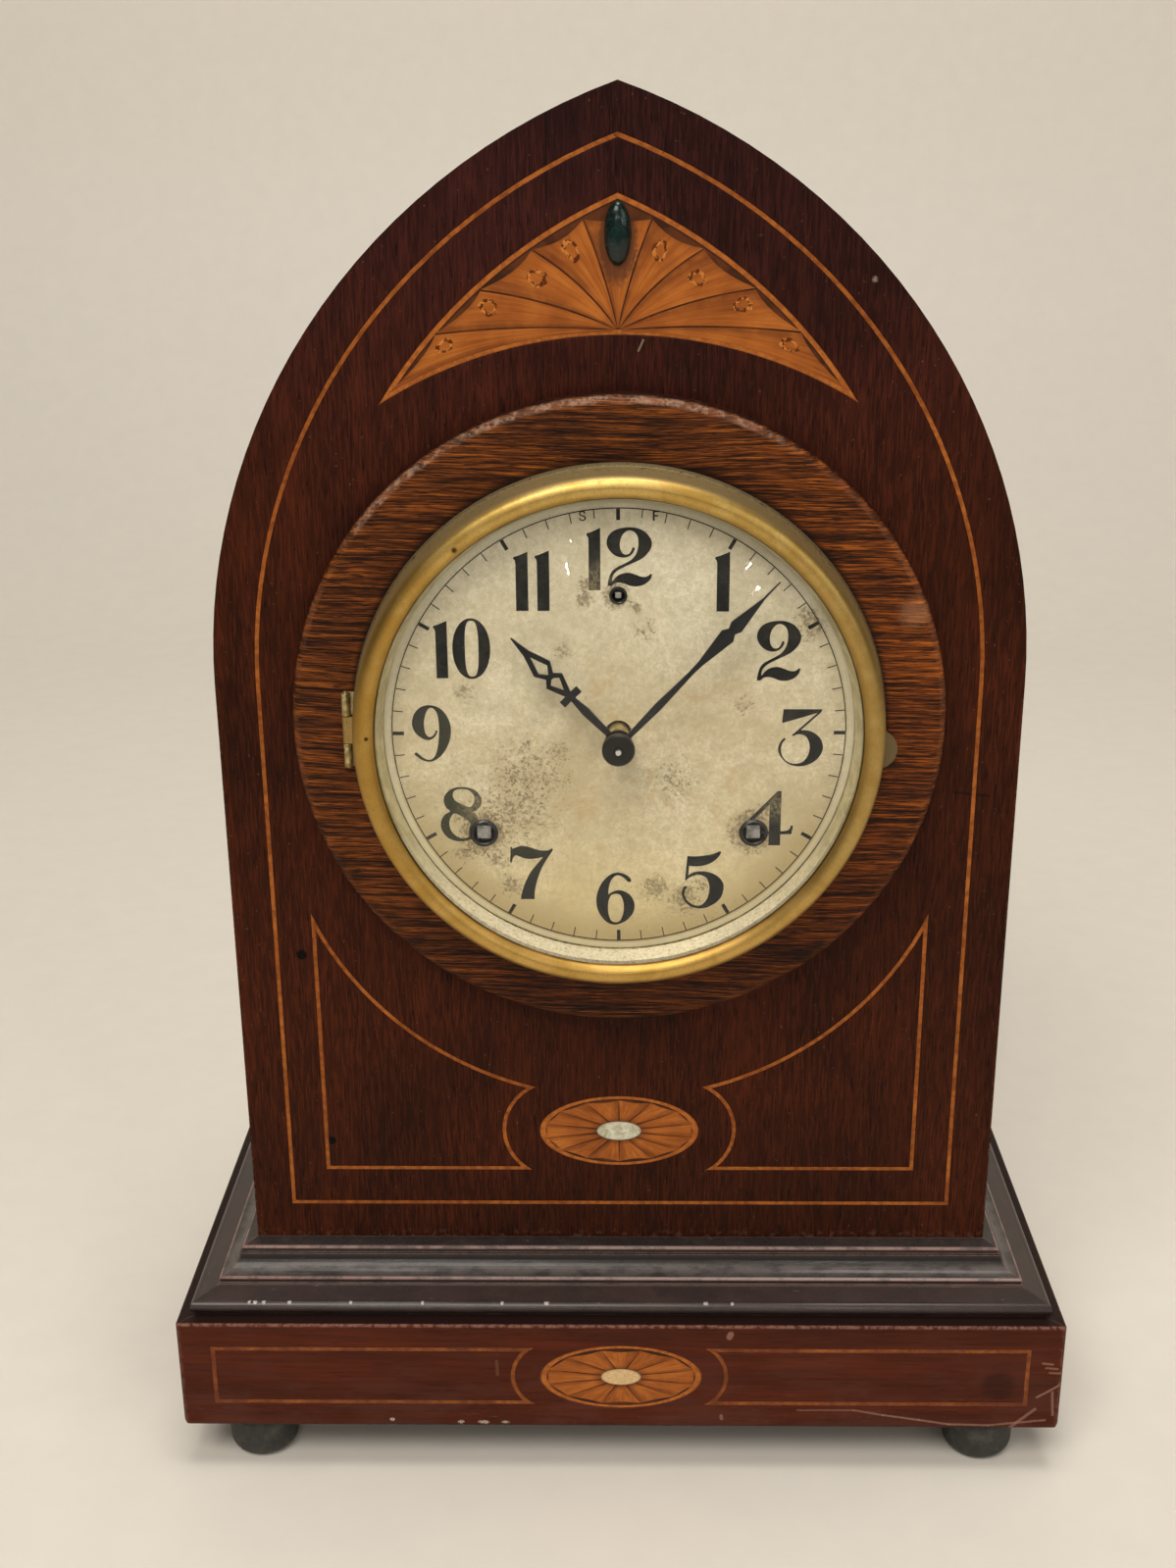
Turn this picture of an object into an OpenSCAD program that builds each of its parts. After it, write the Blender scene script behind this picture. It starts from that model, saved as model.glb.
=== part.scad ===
// Lancet-top striking shelf clock: veneered case with inlay, 5 inch time ring,
// eight-day spring-driven time and strike movement, coil gong, rear door.
// Millimetres. +Z up, the dial looks towards -Y, origin on the floor under the middle of the clock.

/* [Case] */
// Half of the case width at the sides
case_hw = 115.5; // [113:0.5:118]
// Height of the dial centre above the floor
dial_z = 244; // [243:0.5:246]
// Height of the arch springing above the dial centre
spring_dz = 10.5; // [8:0.5:13]
// Sideways offset of each arch centre
arch_a = 54.4; // [50:0.2:58]
// Y of the front panel's face
face_y = -37.5; // [-38:0.5:-37]
// Thickness of the front panel
panel_t = 10; // [8:0.5:12]
// Thickness of the bent side shells
shell_t = 8; // [6:0.5:9]
// Y of the back of the case
back_y = 66.5; // [66:0.5:67]
// Thickness of the back panel and door
back_t = 6; // [5:0.5:7]

/* [Plinth] */
// Top of the plinth above the floor
plinth_top = 54.2; // [53:0.2:56]
// Underside of the plinth above the floor
plinth_bot = 16.2; // [15:0.1:18]
// How far the plinth stands out from the case
plinth_e = 23; // [21:0.5:24]
// Thickness of the plinth boards
plinth_t = 12; // [10:1:14]

/* [Dial] */
// Radius of the wooden dial surround
ring_r = 93; // [90:0.5:95]
// Thickness of the wooden dial surround
ring_t = 7; // [6:0.5:8]
// Radius of the dial disc
dial_r = 65.9; // [65:0.1:66]
// Radius of the bezel where it meets the wood
bezel_r = 75.2; // [74.6:0.1:76]

/* [Movement] */
// Sideways distance of each winding arbor from the centre
wind_x = 38.5; // [38:0.5:39]
// Height of the winding arbors relative to the dial centre
wind_z = -30; // [-30.5:0.5:-29.5]
// Angle of the minute hand, clockwise from 12
minute_deg = 44.2; // [0:0.1:360]
// Angle of the hour hand, clockwise from 12
hour_deg = -45.2; // [-180:0.1:180]
// Radius of the pendulum bob
bob_r = 17; // [14:0.5:19]

/* [Hidden] */
$fn = 64;

zc = dial_z + spring_dz;            // arch springing
rg = case_hw + arch_a;              // arch radius
apex = zc + sqrt(rg*rg - arch_a*arch_a);
dial_y = face_y - 12;               // front of the dial disc
ring_y = face_y - ring_t;           // front of the wooden surround
inner_y = face_y + panel_t;         // back of the front panel
bp_y = back_y - back_t;             // inner face of the back panel
inlay = 0.8;                        // veneer and inlay thickness
fp = [-22, -20];                    // front plate, from and to
bp = [18, 20];                      // back plate, from and to
tilt = 5;                           // hands bend towards the dial by this angle

// ---------- helpers: everything round runs along Y ----------
module ycyl(r, y1, y2, x = 0, z = 0, fn = 64) translate([x, y1, z]) rotate([-90,0,0]) cylinder(r = r, h = y2 - y1, $fn = fn);
module ytube(ro, ri, y1, y2, x = 0, z = 0, fn = 64) difference() { ycyl(ro, y1, y2, x, z, fn); ycyl(ri, y1 - 1, y2 + 1, x, z, fn); }
module plate(y1, y2) translate([0, y2, 0]) rotate([90,0,0]) linear_extrude(y2 - y1) children();
module box(x1, x2, y1, y2, z1, z2) translate([x1, y1, z1]) cube([x2 - x1, y2 - y1, z2 - z1]);
// turned profile about the Y axis through (x, z); points are [radius, y]
module turned(pts, x = 0, z = 0, fn = 128) translate([x, 0, z]) rotate([90,0,0]) rotate_extrude($fn = fn) polygon([for (p = pts) [p[0], -p[1]]]);
function arcpts(cx, cy, r, a1, a2, n) = [for (i = [0:n]) let(a = a1 + (a2 - a1)*i/n) [cx + r*cos(a), cy + r*sin(a)]];
function ellpts(cx, cz, rx, rz, n) = [for (i = [0:n-1]) [cx + rx*cos(360*i/n), cz + rz*sin(360*i/n)]];
// where a circle about p (radius r1) meets one about q (radius r2); s picks the side
function meet(p, r1, q, r2, s) = let(d = norm(q - p), a = (r1*r1 - r2*r2 + d*d)/(2*d), h = sqrt(r1*r1 - a*a), u = (q - p)/d)
  [p[0] + u[0]*a - s*u[1]*h, p[1] + u[1]*a + s*u[0]*h];
function dirdeg(p, q) = atan2(q[1] - p[1], q[0] - p[0]);

// ---------- case outline: Gothic lancet, inset d from the outside ----------
module lancet(d, y1, y2, zb) {
  hw = case_hw - d; r = rg - d;
  union() {
    box(-hw, hw, y1, y2, zb, zc);
    intersection() {
      ycyl(r, y1, y2, -arch_a, zc, 240);
      ycyl(r, y1, y2, arch_a, zc, 240);
      box(-hw - 1, hw + 1, y1 - 1, y2 + 1, zc, apex + 2);
    }
  }
}

// ---------- inlay outlines ----------
sw = 1.15;                          // width of the string lines
sp_x = 92.1; sp_zb = dial_z - 148.2; // outer corner of the spandrel lines
module spandrel(d, y1, y2) difference() {
  box(-sp_x + d, -18.5, y1, y2, sp_zb + d, dial_z - 60);
  ycyl(99.6 + d, y1 - 1, y2 + 1, 0, dial_z - 22.7, 180);
  ycyl(16.7 + d, y1 - 1, y2 + 1, -18.5, dial_z - 134, 96);
}
pl_z1 = dial_z - 219; pl_z2 = dial_z - 198.1;
module plinth_rect(d, y1, y2) difference() {
  box(-127.9 + d, -20.9, y1, y2, pl_z1 + d, pl_z2 - d);
  ycyl(12 + d, y1 - 1, y2 + 1, -20.9, dial_z - 208.5, 72);
}
module string_shape(y1, y2, py1, py2) {
  difference() { lancet(11.8, y1, y2, dial_z - 160.7); lancet(11.8 + sw, y1 - 1, y2 + 1, dial_z - 160.7 + sw); }
  for (m = [0, 1]) mirror([m, 0, 0]) {
    difference() { spandrel(0, y1, y2); spandrel(sw, y1 - 1, y2 + 1); }
    difference() { plinth_rect(0, py1, py2); plinth_rect(sw, py1 - 1, py2 + 1); }
  }
}
fan_r = 141.1;                      // arches of the crown fan
fan_a = 53.9; fan_z = dial_z + 13.6; // their centres, each side of the middle
fan_b = [124.8, dial_z - 17];       // radius and centre height of its hollow lower edge
module fan_shape(y1, y2) difference() {
  intersection() {
    ycyl(fan_r, y1, y2, -fan_a, fan_z, 240);
    ycyl(fan_r, y1, y2, fan_a, fan_z, 240);
    box(-80, 80, y1 - 1, y2 + 1, dial_z + 60, apex);
  }
  ycyl(fan_b[0], y1 - 2, y2 + 2, 0, fan_b[1], 240);
}
cab_z = dial_z + 133.8;             // middle of the oval cabochon
cab = [3.6, 8.3];                   // its half sizes
po = [0, dial_z - 134.3, 24.8, 12.2];   // panel oval: x, z, half sizes
bo = [0.5, dial_z - 208.7, 25.3, 11.6]; // plinth oval
pc = [6.9, 3.3]; bc = [6.3, 3.0];         // half sizes of their pale centres
pf_y = face_y - plinth_e;           // face of the plinth

// ---------- case ----------
module front_panel() color("#3a1712") difference() {
  lancet(0, face_y, inner_y, plinth_top);
  for (q = post) ycyl(1.55, inner_y - 5.6, inner_y + 1, q[0], dial_z + q[1], 24);
  ycyl(58, face_y - 1, inner_y + 1, 0, dial_z, 128);
  string_shape(face_y - 1, face_y + inlay, 900, 901);
  fan_shape(face_y - 1, face_y + inlay);
  plate(face_y - 1, face_y + inlay) polygon(ellpts(po[0], po[1], po[2], po[3], 72));
}
module shell(s) mirror([s, 0, 0]) difference() {
  lancet(0, inner_y, back_y, plinth_top);
  lancet(shell_t, inner_y - 1, back_y + 1, plinth_top - 1);
  box(0, 200, inner_y - 2, back_y + 2, plinth_top - 2, apex + 5);
}
module side_shell_left() color("#3a1712") shell(0);
module side_shell_right() color("#3a1712") shell(1);
door_x = 70; door_zb = 88; door_zs = 236;   // door opening: half width, bottom, springing of its round head
module door_shape(g, y1, y2) union() {
  box(-door_x + g, door_x - g, y1, y2, door_zb + g, door_zs);
  intersection() { ycyl(door_x - g, y1, y2, 0, door_zs, 128); box(-door_x, door_x, y1 - 1, y2 + 1, door_zs - 0.01, door_zs + door_x + 1); }
}
module back_panel() color("#5b4029") difference() {
  lancet(shell_t, bp_y, back_y, plinth_top);
  door_shape(0, bp_y - 1, back_y + 1);
  ycyl(1.1, bp_y + 1, back_y + 1, btn_x, btn_z, 24);
}
module case_floor() color("#6d5138") box(-case_hw + shell_t, case_hw - shell_t, inner_y, bp_y, plinth_top, plinth_top + 8);
foot_p = [for (x = [-116, 116], y = [face_y - 8.7, 56]) [x, y]];
module corner_blocks() color("#8a6d4a") for (p = foot_p) difference() {
  translate([p[0] > 0 ? 100 : -(phw - plinth_t), p[1] < 0 ? pf_y + plinth_t : 70.5 - plinth_t - 26, plinth_bot]) cube([phw - plinth_t - 100, 26, plinth_top - plinth_bot]);
  translate([p[0], p[1], plinth_bot - 1]) cylinder(r = 1.75, h = 9.8, $fn = 32);
}
module dial_surround() color("#7a3d1e") difference() {
  turned(concat([[60, face_y], [ring_r, face_y]], arcpts(ring_r - 3.2, ring_y + 3.2, 3.2, 0, -90, 8), [[60, ring_y]]), 0, dial_z, 180);
  for (a = [45, 135, 225, 315]) ycyl(1.1, ring_y - 1, ring_y + 6.6, 70.3*cos(a), dial_z + 70.3*sin(a), 24);
}
module stringing() color("#c0702f") string_shape(face_y, face_y + inlay, pf_y, pf_y + inlay);
module fan_marquetry() color("#b5652b") difference() {
  fan_shape(face_y, face_y + inlay);
  plate(face_y - 1, face_y + inlay + 1) polygon(ellpts(0, cab_z, cab[0], cab[1], 48));
}
// oval dome built of stacked slices, wider at the panel
module crown_cabochon() color("#2c3a2a") for (i = [0:4]) plate(face_y - 0.6*(i + 1), face_y - 0.6*i + (i == 0 ? inlay : 0))
  polygon(ellpts(0, cab_z, cab[0]*sqrt(1 - pow(i/5.2, 2)), cab[1]*sqrt(1 - pow(i/5.2, 2)), 48));
module oval_disc(o, c, y1, y2) plate(y1, y2) difference() { polygon(ellpts(o[0], o[1], o[2], o[3], 72)); polygon(ellpts(o[0], o[1], c[0], c[1], 40)); }
module oval_medallions() color("#a9602c") { oval_disc(po, pc, face_y, face_y + inlay); oval_disc(bo, bc, pf_y, pf_y + inlay); }
module pearl_centres() color("#d8d0bd") {
  plate(face_y, face_y + inlay) polygon(ellpts(po[0], po[1], pc[0], pc[1], 40));
  plate(pf_y, pf_y + inlay) polygon(ellpts(bo[0], bo[1], bc[0], bc[1], 40));
}

// ---------- plinth, mouldings, feet ----------
phw = case_hw + plinth_e;
// worn outside corners: eased all round the base, most at the foot of each end
module plinth_ease() intersection() {
  translate([0, 80, 0]) rotate([90, 0, 0]) linear_extrude(160) polygon(concat(arcpts(phw - 0.9, plinth_top - 0.9, 0.9, 0, 90, 5), arcpts(-phw + 0.9, plinth_top - 0.9, 0.9, 90, 180, 5),
    arcpts(-phw + 3, plinth_bot + 3, 3, 180, 270, 8), arcpts(phw - 3, plinth_bot + 3, 3, 270, 360, 8)));
  translate([0, 0, plinth_bot - 1]) linear_extrude(60) polygon(concat([[phw, 70.5], [-phw, 70.5]], arcpts(-phw + 1.6, pf_y + 1.6, 1.6, 180, 270, 6), arcpts(phw - 1.6, pf_y + 1.6, 1.6, 270, 360, 6)));
  translate([-150, 0, 0]) rotate([90, 0, 90]) linear_extrude(300) polygon(concat([[80, plinth_bot], [80, plinth_top]], arcpts(pf_y + 0.7, plinth_top - 0.7, 0.7, 90, 180, 4), arcpts(pf_y + 1.2, plinth_bot + 1.2, 1.2, 180, 270, 6)));
}
module plinth_front() color("#4a1a13") difference() {
  intersection() { plinth_ease(); translate([0, 0, plinth_bot]) linear_extrude(plinth_top - plinth_bot)
    polygon([[-phw, pf_y], [phw, pf_y], [phw - plinth_t, pf_y + plinth_t], [-phw + plinth_t, pf_y + plinth_t]]); }
  string_shape(900, 901, pf_y - 1, pf_y + inlay);
  plate(pf_y - 1, pf_y + inlay) polygon(ellpts(bo[0], bo[1], bo[2], bo[3], 72));
}
module plinth_carcass() color("#45201a") intersection() { plinth_ease(); translate([0, 0, plinth_bot]) {
  for (m = [0, 1]) mirror([m, 0, 0]) linear_extrude(plinth_top - plinth_bot)
    polygon([[-phw, pf_y], [-phw + plinth_t, pf_y + plinth_t], [-phw + plinth_t, 70.5], [-phw, 70.5]]);
  translate([-phw + plinth_t, 70.5 - plinth_t, 0]) cube([2*(phw - plinth_t), plinth_t, plinth_top - plinth_bot]);
} }
// moulding section: [outwards, up] from the case wall and the plinth top
mz = dial_z - plinth_top;
mould = concat([[0, 0], [17.6, 0], [17.6, 1.4]], arcpts(17.0, 2.9, 2.0, -50, 90, 8),
  [[11.2, 6.6], [10.9, 7.2], [10.9, 8.6]], [for (i = [0:8]) let(a = 90*i/8) [10.1 - 4.9*sin(a), 14.0 - 4.9*cos(a)]], [[4.4, 14.2], [4.4, 15.6], [3.6, 16.2], [0, 17.2]]);
module moulding_front() color("#2b1d1b") intersection() {
  translate([-phw, face_y, plinth_top]) rotate([90, 0, 90]) linear_extrude(2*phw) polygon([for (p = mould) [-p[0], p[1]]]);
  translate([0, 0, plinth_top - 1]) linear_extrude(20) polygon([[-case_hw - 30, face_y - 30], [case_hw + 30, face_y - 30], [case_hw, face_y], [-case_hw, face_y]]);
}
module moulding_sides() color("#2b1d1b") for (m = [0, 1]) mirror([m, 0, 0]) intersection() {
  translate([-case_hw, back_y, plinth_top]) rotate([90, 0, 0]) linear_extrude(back_y - face_y + 30) polygon([for (p = mould) [-p[0], p[1]]]);
  translate([0, 0, plinth_top - 1]) linear_extrude(20) polygon([[-case_hw, face_y], [-case_hw - 30, face_y - 30], [-case_hw - 30, back_y], [-case_hw, back_y]]);
}
module feet() color("#2a2d29") for (p = foot_p) translate([p[0], p[1], 0]) difference() {
  rotate_extrude($fn = 72) polygon(concat([[0, 0], [7.6, 0]], arcpts(6.4, 4.6, 4.6, -75, -5, 6), [[11.1, 8]], arcpts(7.6, plinth_bot - 4, 3.4, 10, 80, 4), [[7.6, plinth_bot], [0, plinth_bot]]));
  translate([0, 0, -1]) cylinder(r = 3.8, h = 4, $fn = 32);
  translate([0, 0, -1]) cylinder(r = 1.8, h = 40, $fn = 32);
}
module fixing_screws() color("#8d8468") {
  for (p = foot_p) translate([p[0], p[1], 0.6]) { cylinder(r = 3.4, h = 2.4, $fn = 32); cylinder(r = 1.75, h = plinth_bot + 8, $fn = 32); }
  for (a = [45, 135, 225, 315]) translate([70.3*cos(a), 0, dial_z + 70.3*sin(a)]) { ycyl(2.2, ring_y - 1.8, ring_y - 0.8, 0, 0, 24); ycyl(1.1, ring_y - 0.9, ring_y + 6.5, 0, 0, 24); }
}

// ---------- dial and bezel ----------
module dial_pan() color("#b08d4a") difference() {
  union() {
    turned([[61, dial_y + 0.8], [66.1, dial_y + 0.8], [66.1, dial_y - 0.6], [67.1, dial_y - 0.6], [67.1, ring_y - 0.8], [74.3, ring_y - 0.8], [74.3, ring_y],
      [66.1, ring_y], [66.1, dial_y + 1.8], [61, dial_y + 1.8]], 0, dial_z, 180);
    for (s = [[4.1, 10.8], [-11, -4.1]]) {
      box(hx, -72.5, ring_y - 0.8, ring_y, dial_z + s[0], dial_z + s[1]);
      translate([hx, hy, dial_z + s[0]]) cylinder(r = 1.25, h = s[1] - s[0], $fn = 32);
    }
  }
  translate([hx, hy, dial_z - 12]) cylinder(r = 0.5, h = 24, $fn = 24);
  for (a = [45, 135, 225, 315]) ycyl(1.15, ring_y - 2, ring_y + 1, 70.3*cos(a), dial_z + 70.3*sin(a), 24);
}
hx = -76.9; hy = ring_y - 1.45;     // bezel hinge axis
holes = [[-wind_x, wind_z, 3.0], [wind_x, wind_z, 3.0], [0, 39.4, 1.7]];
module dial_disc() color("#cbbf9d") difference() {
  ycyl(dial_r, dial_y, dial_y + 0.8, 0, dial_z, 180);
  ycyl(3.7, dial_y - 1, dial_y + 2, 0, dial_z, 48);
  for (h = holes) ycyl(h[2] + 0.5, dial_y - 1, dial_y + 2, h[0], dial_z + h[1], 48);
}
module dial_eyelets() color("#2a261f") for (h = holes) translate([h[0], 0, dial_z + h[1]])
  turned([[h[2], dial_y - 0.35], [h[2] + 0.35, dial_y - 0.6], [h[2] + (h[2] > 2 ? 1.15 : 0.8), dial_y], [h[2] + 0.5, dial_y], [h[2] + 0.5, dial_y + 1.4], [h[2], dial_y + 1.4]], 0, 0, 48);
module hinge_pins() color("#9a7a3a") {
  translate([hx, hy, dial_z - 11.4]) cylinder(r = 0.5, h = 22.6, $fn = 24);
  for (z = door_hz) translate([dx, dy, z - 12.5]) cylinder(r = 0.8, h = 25, $fn = 24);
}
// bezel skin, from the foot on the wood over the roll to its inner edge; points are [radius, y]
bz = ring_y - 1.0; ry = dial_y - 7.5; rr = 3.2; rc = 70.6;
module bezel_ring() color("#b8923f") {
  difference() {
    union() {
      turned(concat([[bezel_r - 0.9, bz], [bezel_r, bz], [bezel_r, bz - 0.9], [74.5, bz - 3]], arcpts(rc, ry, rr, 0, -163, 18), arcpts(rc, ry, rr - 0.8, -163, 0, 16),
        [[73.6, bz - 3], [74.3, bz - 1.2]]), 0, dial_z, 180);
      translate([hx, hy, dial_z - 3.9]) cylinder(r = 1.25, h = 7.8, $fn = 32);
      box(hx, -73.9, hy - 1.2, hy - 0.4, dial_z - 3.9, dial_z + 3.9);
      intersection() { ycyl(5.8, bz - 1.6, bz - 0.8, 73.0, dial_z - 6, 48); box(73.6, 80, bz - 2, bz, dial_z - 12, dial_z + 2); }
    }
    translate([hx, hy, dial_z - 4.5]) cylinder(r = 0.55, h = 9, $fn = 24);
  }
}
module sight_ring() color("#d8c27a") turned([[65.9, dial_y - 1.2], [67.3, dial_y - 5.95], [72.95, dial_y - 5.95], [72.95, dial_y - 5.35], [67.8, dial_y - 5.35], [66.5, dial_y - 1.2]], 0, dial_z, 180);
// domed glass: spherical cap with parallel faces
gy = dial_y - 21; gR = 187;
gin = 185.4;
module bezel_glass() color([0.8, 0.87, 0.88, 0.35]) turned(concat([for (i = [0:18]) let(a = i*asin(69.2/gR)/18) [gR*sin(a), gy + gR*(1 - cos(a))]],
  [for (i = [18:-1:0]) let(a = i*asin(69.2/gin)/18) [gin*sin(a), gy + 1.6 + gin*(1 - cos(a))]]), 0, dial_z, 180);

// ---------- rear door ----------
dx = -71.6; dy = back_y + 2.0; door_hz = [120, 215];
module door_hinge_plates() color("#a9853f") for (z = door_hz) difference() {
  union() {
    for (s = [[5, 12], [-12, -5]]) translate([dx, dy, z + s[0]]) cylinder(r = 1.7, h = s[1] - s[0], $fn = 32);
    box(dx - 11, dx, back_y, back_y + 0.8, z - 12, z - 5); box(dx - 11, dx, back_y, back_y + 0.8, z + 5, z + 12); box(dx - 11, dx - 2.6, back_y, back_y + 0.8, z - 12, z + 12);
    for (q = [-8, 8]) ycyl(1.8, back_y + 0.8, back_y + 1.3, dx - 6, z + q, 24);
  }
  translate([dx, dy, z - 13]) cylinder(r = 0.8, h = 26, $fn = 24);
}
module back_door() color("#5f432b") {
  difference() {
    door_shape(0.7, bp_y, back_y);
    for (i = [-2:2]) ycyl(4, bp_y - 1, back_y + 1, i*16, 262 - abs(i)*3, 48);
  }
  for (z = door_hz) difference() {
    union() {
      translate([dx, dy, z - 4.8]) cylinder(r = 1.7, h = 9.6, $fn = 32);
      box(dx, dx + 12, back_y, back_y + 0.8, z - 4.8, z + 4.8);
      for (q = [-2.5, 2.5]) ycyl(1.6, back_y + 0.8, back_y + 1.3, dx + 8, z + q, 24);
    }
    translate([dx, dy, z - 13]) cylinder(r = 0.85, h = 26, $fn = 24);
  }
}
btn_x = 78; btn_z = 190;
module turn_button() color("#a9853f") {
  plate(back_y + 0.2, back_y + 2.2) difference() { union() { translate([btn_x - 3.5, btn_z - 9]) square([7, 18]); translate([btn_x, btn_z + 9]) circle(r = 3.5, $fn = 32); translate([btn_x, btn_z - 9]) circle(r = 3.5, $fn = 32); } }
  ycyl(2.6, back_y + 2.2, back_y + 3.2, btn_x, btn_z, 32);
  ycyl(1.04, bp_y + 1.5, back_y + 0.3, btn_x, btn_z, 24);
}

// ---------- gearing ----------
// toothed disc: n teeth of module m with straight flanks; ph is the angle of one tooth
function gear_pts(n, m, ph, add, ded, tt) = [for (i = [0:n-1]) let(a = ph + 360*i/n, h = tt*180/n, R = n*m/2)
  each [for (q = [[-ded, -1.25], [add, -0.42], [add, 0.42], [-ded, 1.25]]) [(R + q[0]*m)*cos(a + q[1]*h), (R + q[0]*m)*sin(a + q[1]*h)]]];
function sector_pts(r1, r2, w1, w2, a) = concat(arcpts(0, 0, r2, a - w2, a + w2, 8), arcpts(0, 0, r1, a + w1, a - w1, 4));
// wheel with k spokes and a central hole, from y1 to y2 about (x, z)
module wheel(n, m, ph, y1, y2, p, hole, k = 5, hub = 4.5, add = 0.85, tt = 0.36) translate([p[0], 0, dial_z + p[1]]) difference() {
  plate(y1, y2) polygon(gear_pts(n, m, ph, add, 1.3, tt));
  if (k > 0) for (i = [0:k-1]) plate(y1 - 1, y2 + 1) polygon(sector_pts(hub, n*m/2 - 3.2, 180/k - asin(1.1/hub), 180/k - asin(1.1/(n*m/2 - 3.2)), ph + 360*(i + 0.5)/k));
  if (hole > 0) ycyl(hole, y1 - 1, y2 + 1, 0, 0, 32);
}
// lantern pinion: two collets joined by n round trundles; ph is the angle of one gap
module lantern(n, m, ph, y1, y2, p, tr) translate([p[0], 0, dial_z + p[1]]) {
  for (y = [y1, y2 - 0.7]) ycyl(n*m/2 + tr + 0.35, y, y + 0.7, 0, 0, 40);
  for (i = [0:n-1]) let(a = ph + 360*(i + 0.5)/n) ycyl(tr, y1 + 0.1, y2 - 0.1, n*m/2*cos(a), n*m/2*sin(a), 16);
}
// arbor with a pivot at each plate
module arbor(p, r, pr = 0.8) translate([p[0], 0, dial_z + p[1]]) { ycyl(r, fp[1] + 0.4, bp[0] - 0.4, 0, 0, 24); ycyl(pr, fp[0], bp[1], 0, 0, 24); }
C = [0, 0]; TG = [wind_x, wind_z]; SG = [-wind_x, wind_z];
m_g = 0.85; m_2 = 0.9; m_3 = 0.5; m_4 = 0.45;
TS = meet(C, 22.5, TG, 35.7, -1);         // time second arbor, below the centre
V = [0, 32.5];                            // verge and pendulum axis
E = [0, 15.5];                            // escape arbor
TT = meet(C, 22, E, 18, -1);              // time third arbor
SS = meet(C, 22.5, SG, 35.7, -1);         // strike second arbor, left of the centre
ST = [SS[0] + 20.4*cos(100), SS[1] + 20.4*sin(100)];
SF = [ST[0] + 17*cos(80), ST[1] + 17*sin(80)];
HA = [0, -50];                            // hammer arbor
RG = [0, 39.4];                           // regulator arbor
MW = [0, -12];                            // minute wheel stud
pil = [[-54, 36], [54, 36], [-12, -57], [12, -57], [-65, -61], [65, -61]];
post = [[-58, 49], [58, 49], [-50, -66], [50, -66]];
// Y of each wheel: great, centre, second, third, escape; strike second and third
yg = [-18, -16.2]; y3 = [-14.6, -13.5]; y2t = [11, 12.2]; y4 = [4, 5.1]; y5 = [13.7, 14.7]; y2s = [8.1, 9.2]; y6 = [0, 1.1];
pivots = [TS, TT, E, SS, ST, SF];
module plate_outline() polygon([[-63, 57], [63, 57], [67, 52], [72, 10], [72, -66], [67, -71], [-67, -71], [-72, -66], [-72, 10], [-67, 52]]);
module mplate(y1, y2, back) color("#a98642") difference() {
  translate([0, 0, dial_z]) plate(y1, y2) plate_outline();
  for (q = pivots) if (back || q != E) ycyl(0.85, y1 - 1, y2 + 1, q[0], dial_z + q[1], 24);
  ycyl(back ? 0.85 : 1.56, y1 - 1, y2 + 1, 0, dial_z, 32);
  for (q = [TG, SG]) ycyl(3.06, y1 - 1, y2 + 1, q[0], dial_z + q[1], 48);
  ycyl(back ? 1.26 : 0.85, y1 - 1, y2 + 1, V[0], dial_z + V[1], 24);
  ycyl(0.85, y1 - 1, y2 + 1, HA[0], dial_z + HA[1], 24);
  ycyl(1.36, y1 - 1, y2 + 1, RG[0], dial_z + RG[1], 24);
  for (q = pil) ycyl(1.6, y1 - 1, y2 + 1, q[0], dial_z + q[1], 24);
  for (s = [-1, 1]) { ycyl(8, y1 - 1, y2 + 1, s*44, dial_z + 19, 64); ycyl(6, y1 - 1, y2 + 1, s*30, dial_z - 60, 48); ycyl(5.5, y1 - 1, y2 + 1, s*62, dial_z + 12, 48); ycyl(6.5, y1 - 1, y2 + 1, s*62, dial_z - 30, 48); }
  ycyl(4.5, y1 - 1, y2 + 1, 10, dial_z - 37, 48); ycyl(4.5, y1 - 1, y2 + 1, -12, dial_z - 25, 48);
  if (!back) for (q = post) ycyl(1.6, y1 - 1, y2 + 1, q[0], dial_z + q[1], 24);
  if (!back) ycyl(1.0, y1 - 1, y2 + 1, MW[0], dial_z + MW[1], 24);
}
// the low cock behind the centre wheel carries the front pivot of the escape arbor
module front_plate() { mplate(fp[0], fp[1], false);
  color("#a98642") translate([0, 0, dial_z]) { ycyl(2, fp[1] - 0.5, -11, 0, 25, 24);
    plate(-12.2, -11) difference() { hull() { translate([0, 25]) circle(r = 2.6, $fn = 32); translate(E) circle(r = 2.6, $fn = 32); } translate(E) circle(r = 0.85, $fn = 24); } }
  color("#8f8f8a") ycyl(1.0, fp[0] - 7, fp[1] - 0.5, MW[0], dial_z + MW[1], 24); }
module back_plate() mplate(bp[0], bp[1], true);
module pillars() color("#b39049") for (q = pil) translate([q[0], 0, dial_z + q[1]]) {
  ycyl(3, fp[1], bp[0], 0, 0, 32); ycyl(1.6, fp[0] - 1.6, bp[1] + 3.2, 0, 0, 24); ycyl(2.6, fp[0] - 1.6, fp[0], 0, 0, 32);
  plate(bp[1], bp[1] + 2.4) circle(r = 3.2, $fn = 6);
}
// the front plate's four standoffs on the back of the panel, with their screws
module movement_posts() color("#b39049") for (q = post) translate([q[0], 0, dial_z + q[1]]) {
  ytube(4, 1.6, inner_y, fp[0], 0, 0, 32); ycyl(1.55, inner_y - 5.5, fp[1] + 0.1, 0, 0, 24); ycyl(3.2, fp[1], fp[1] + 1.6, 0, 0, 32);
}
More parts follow.
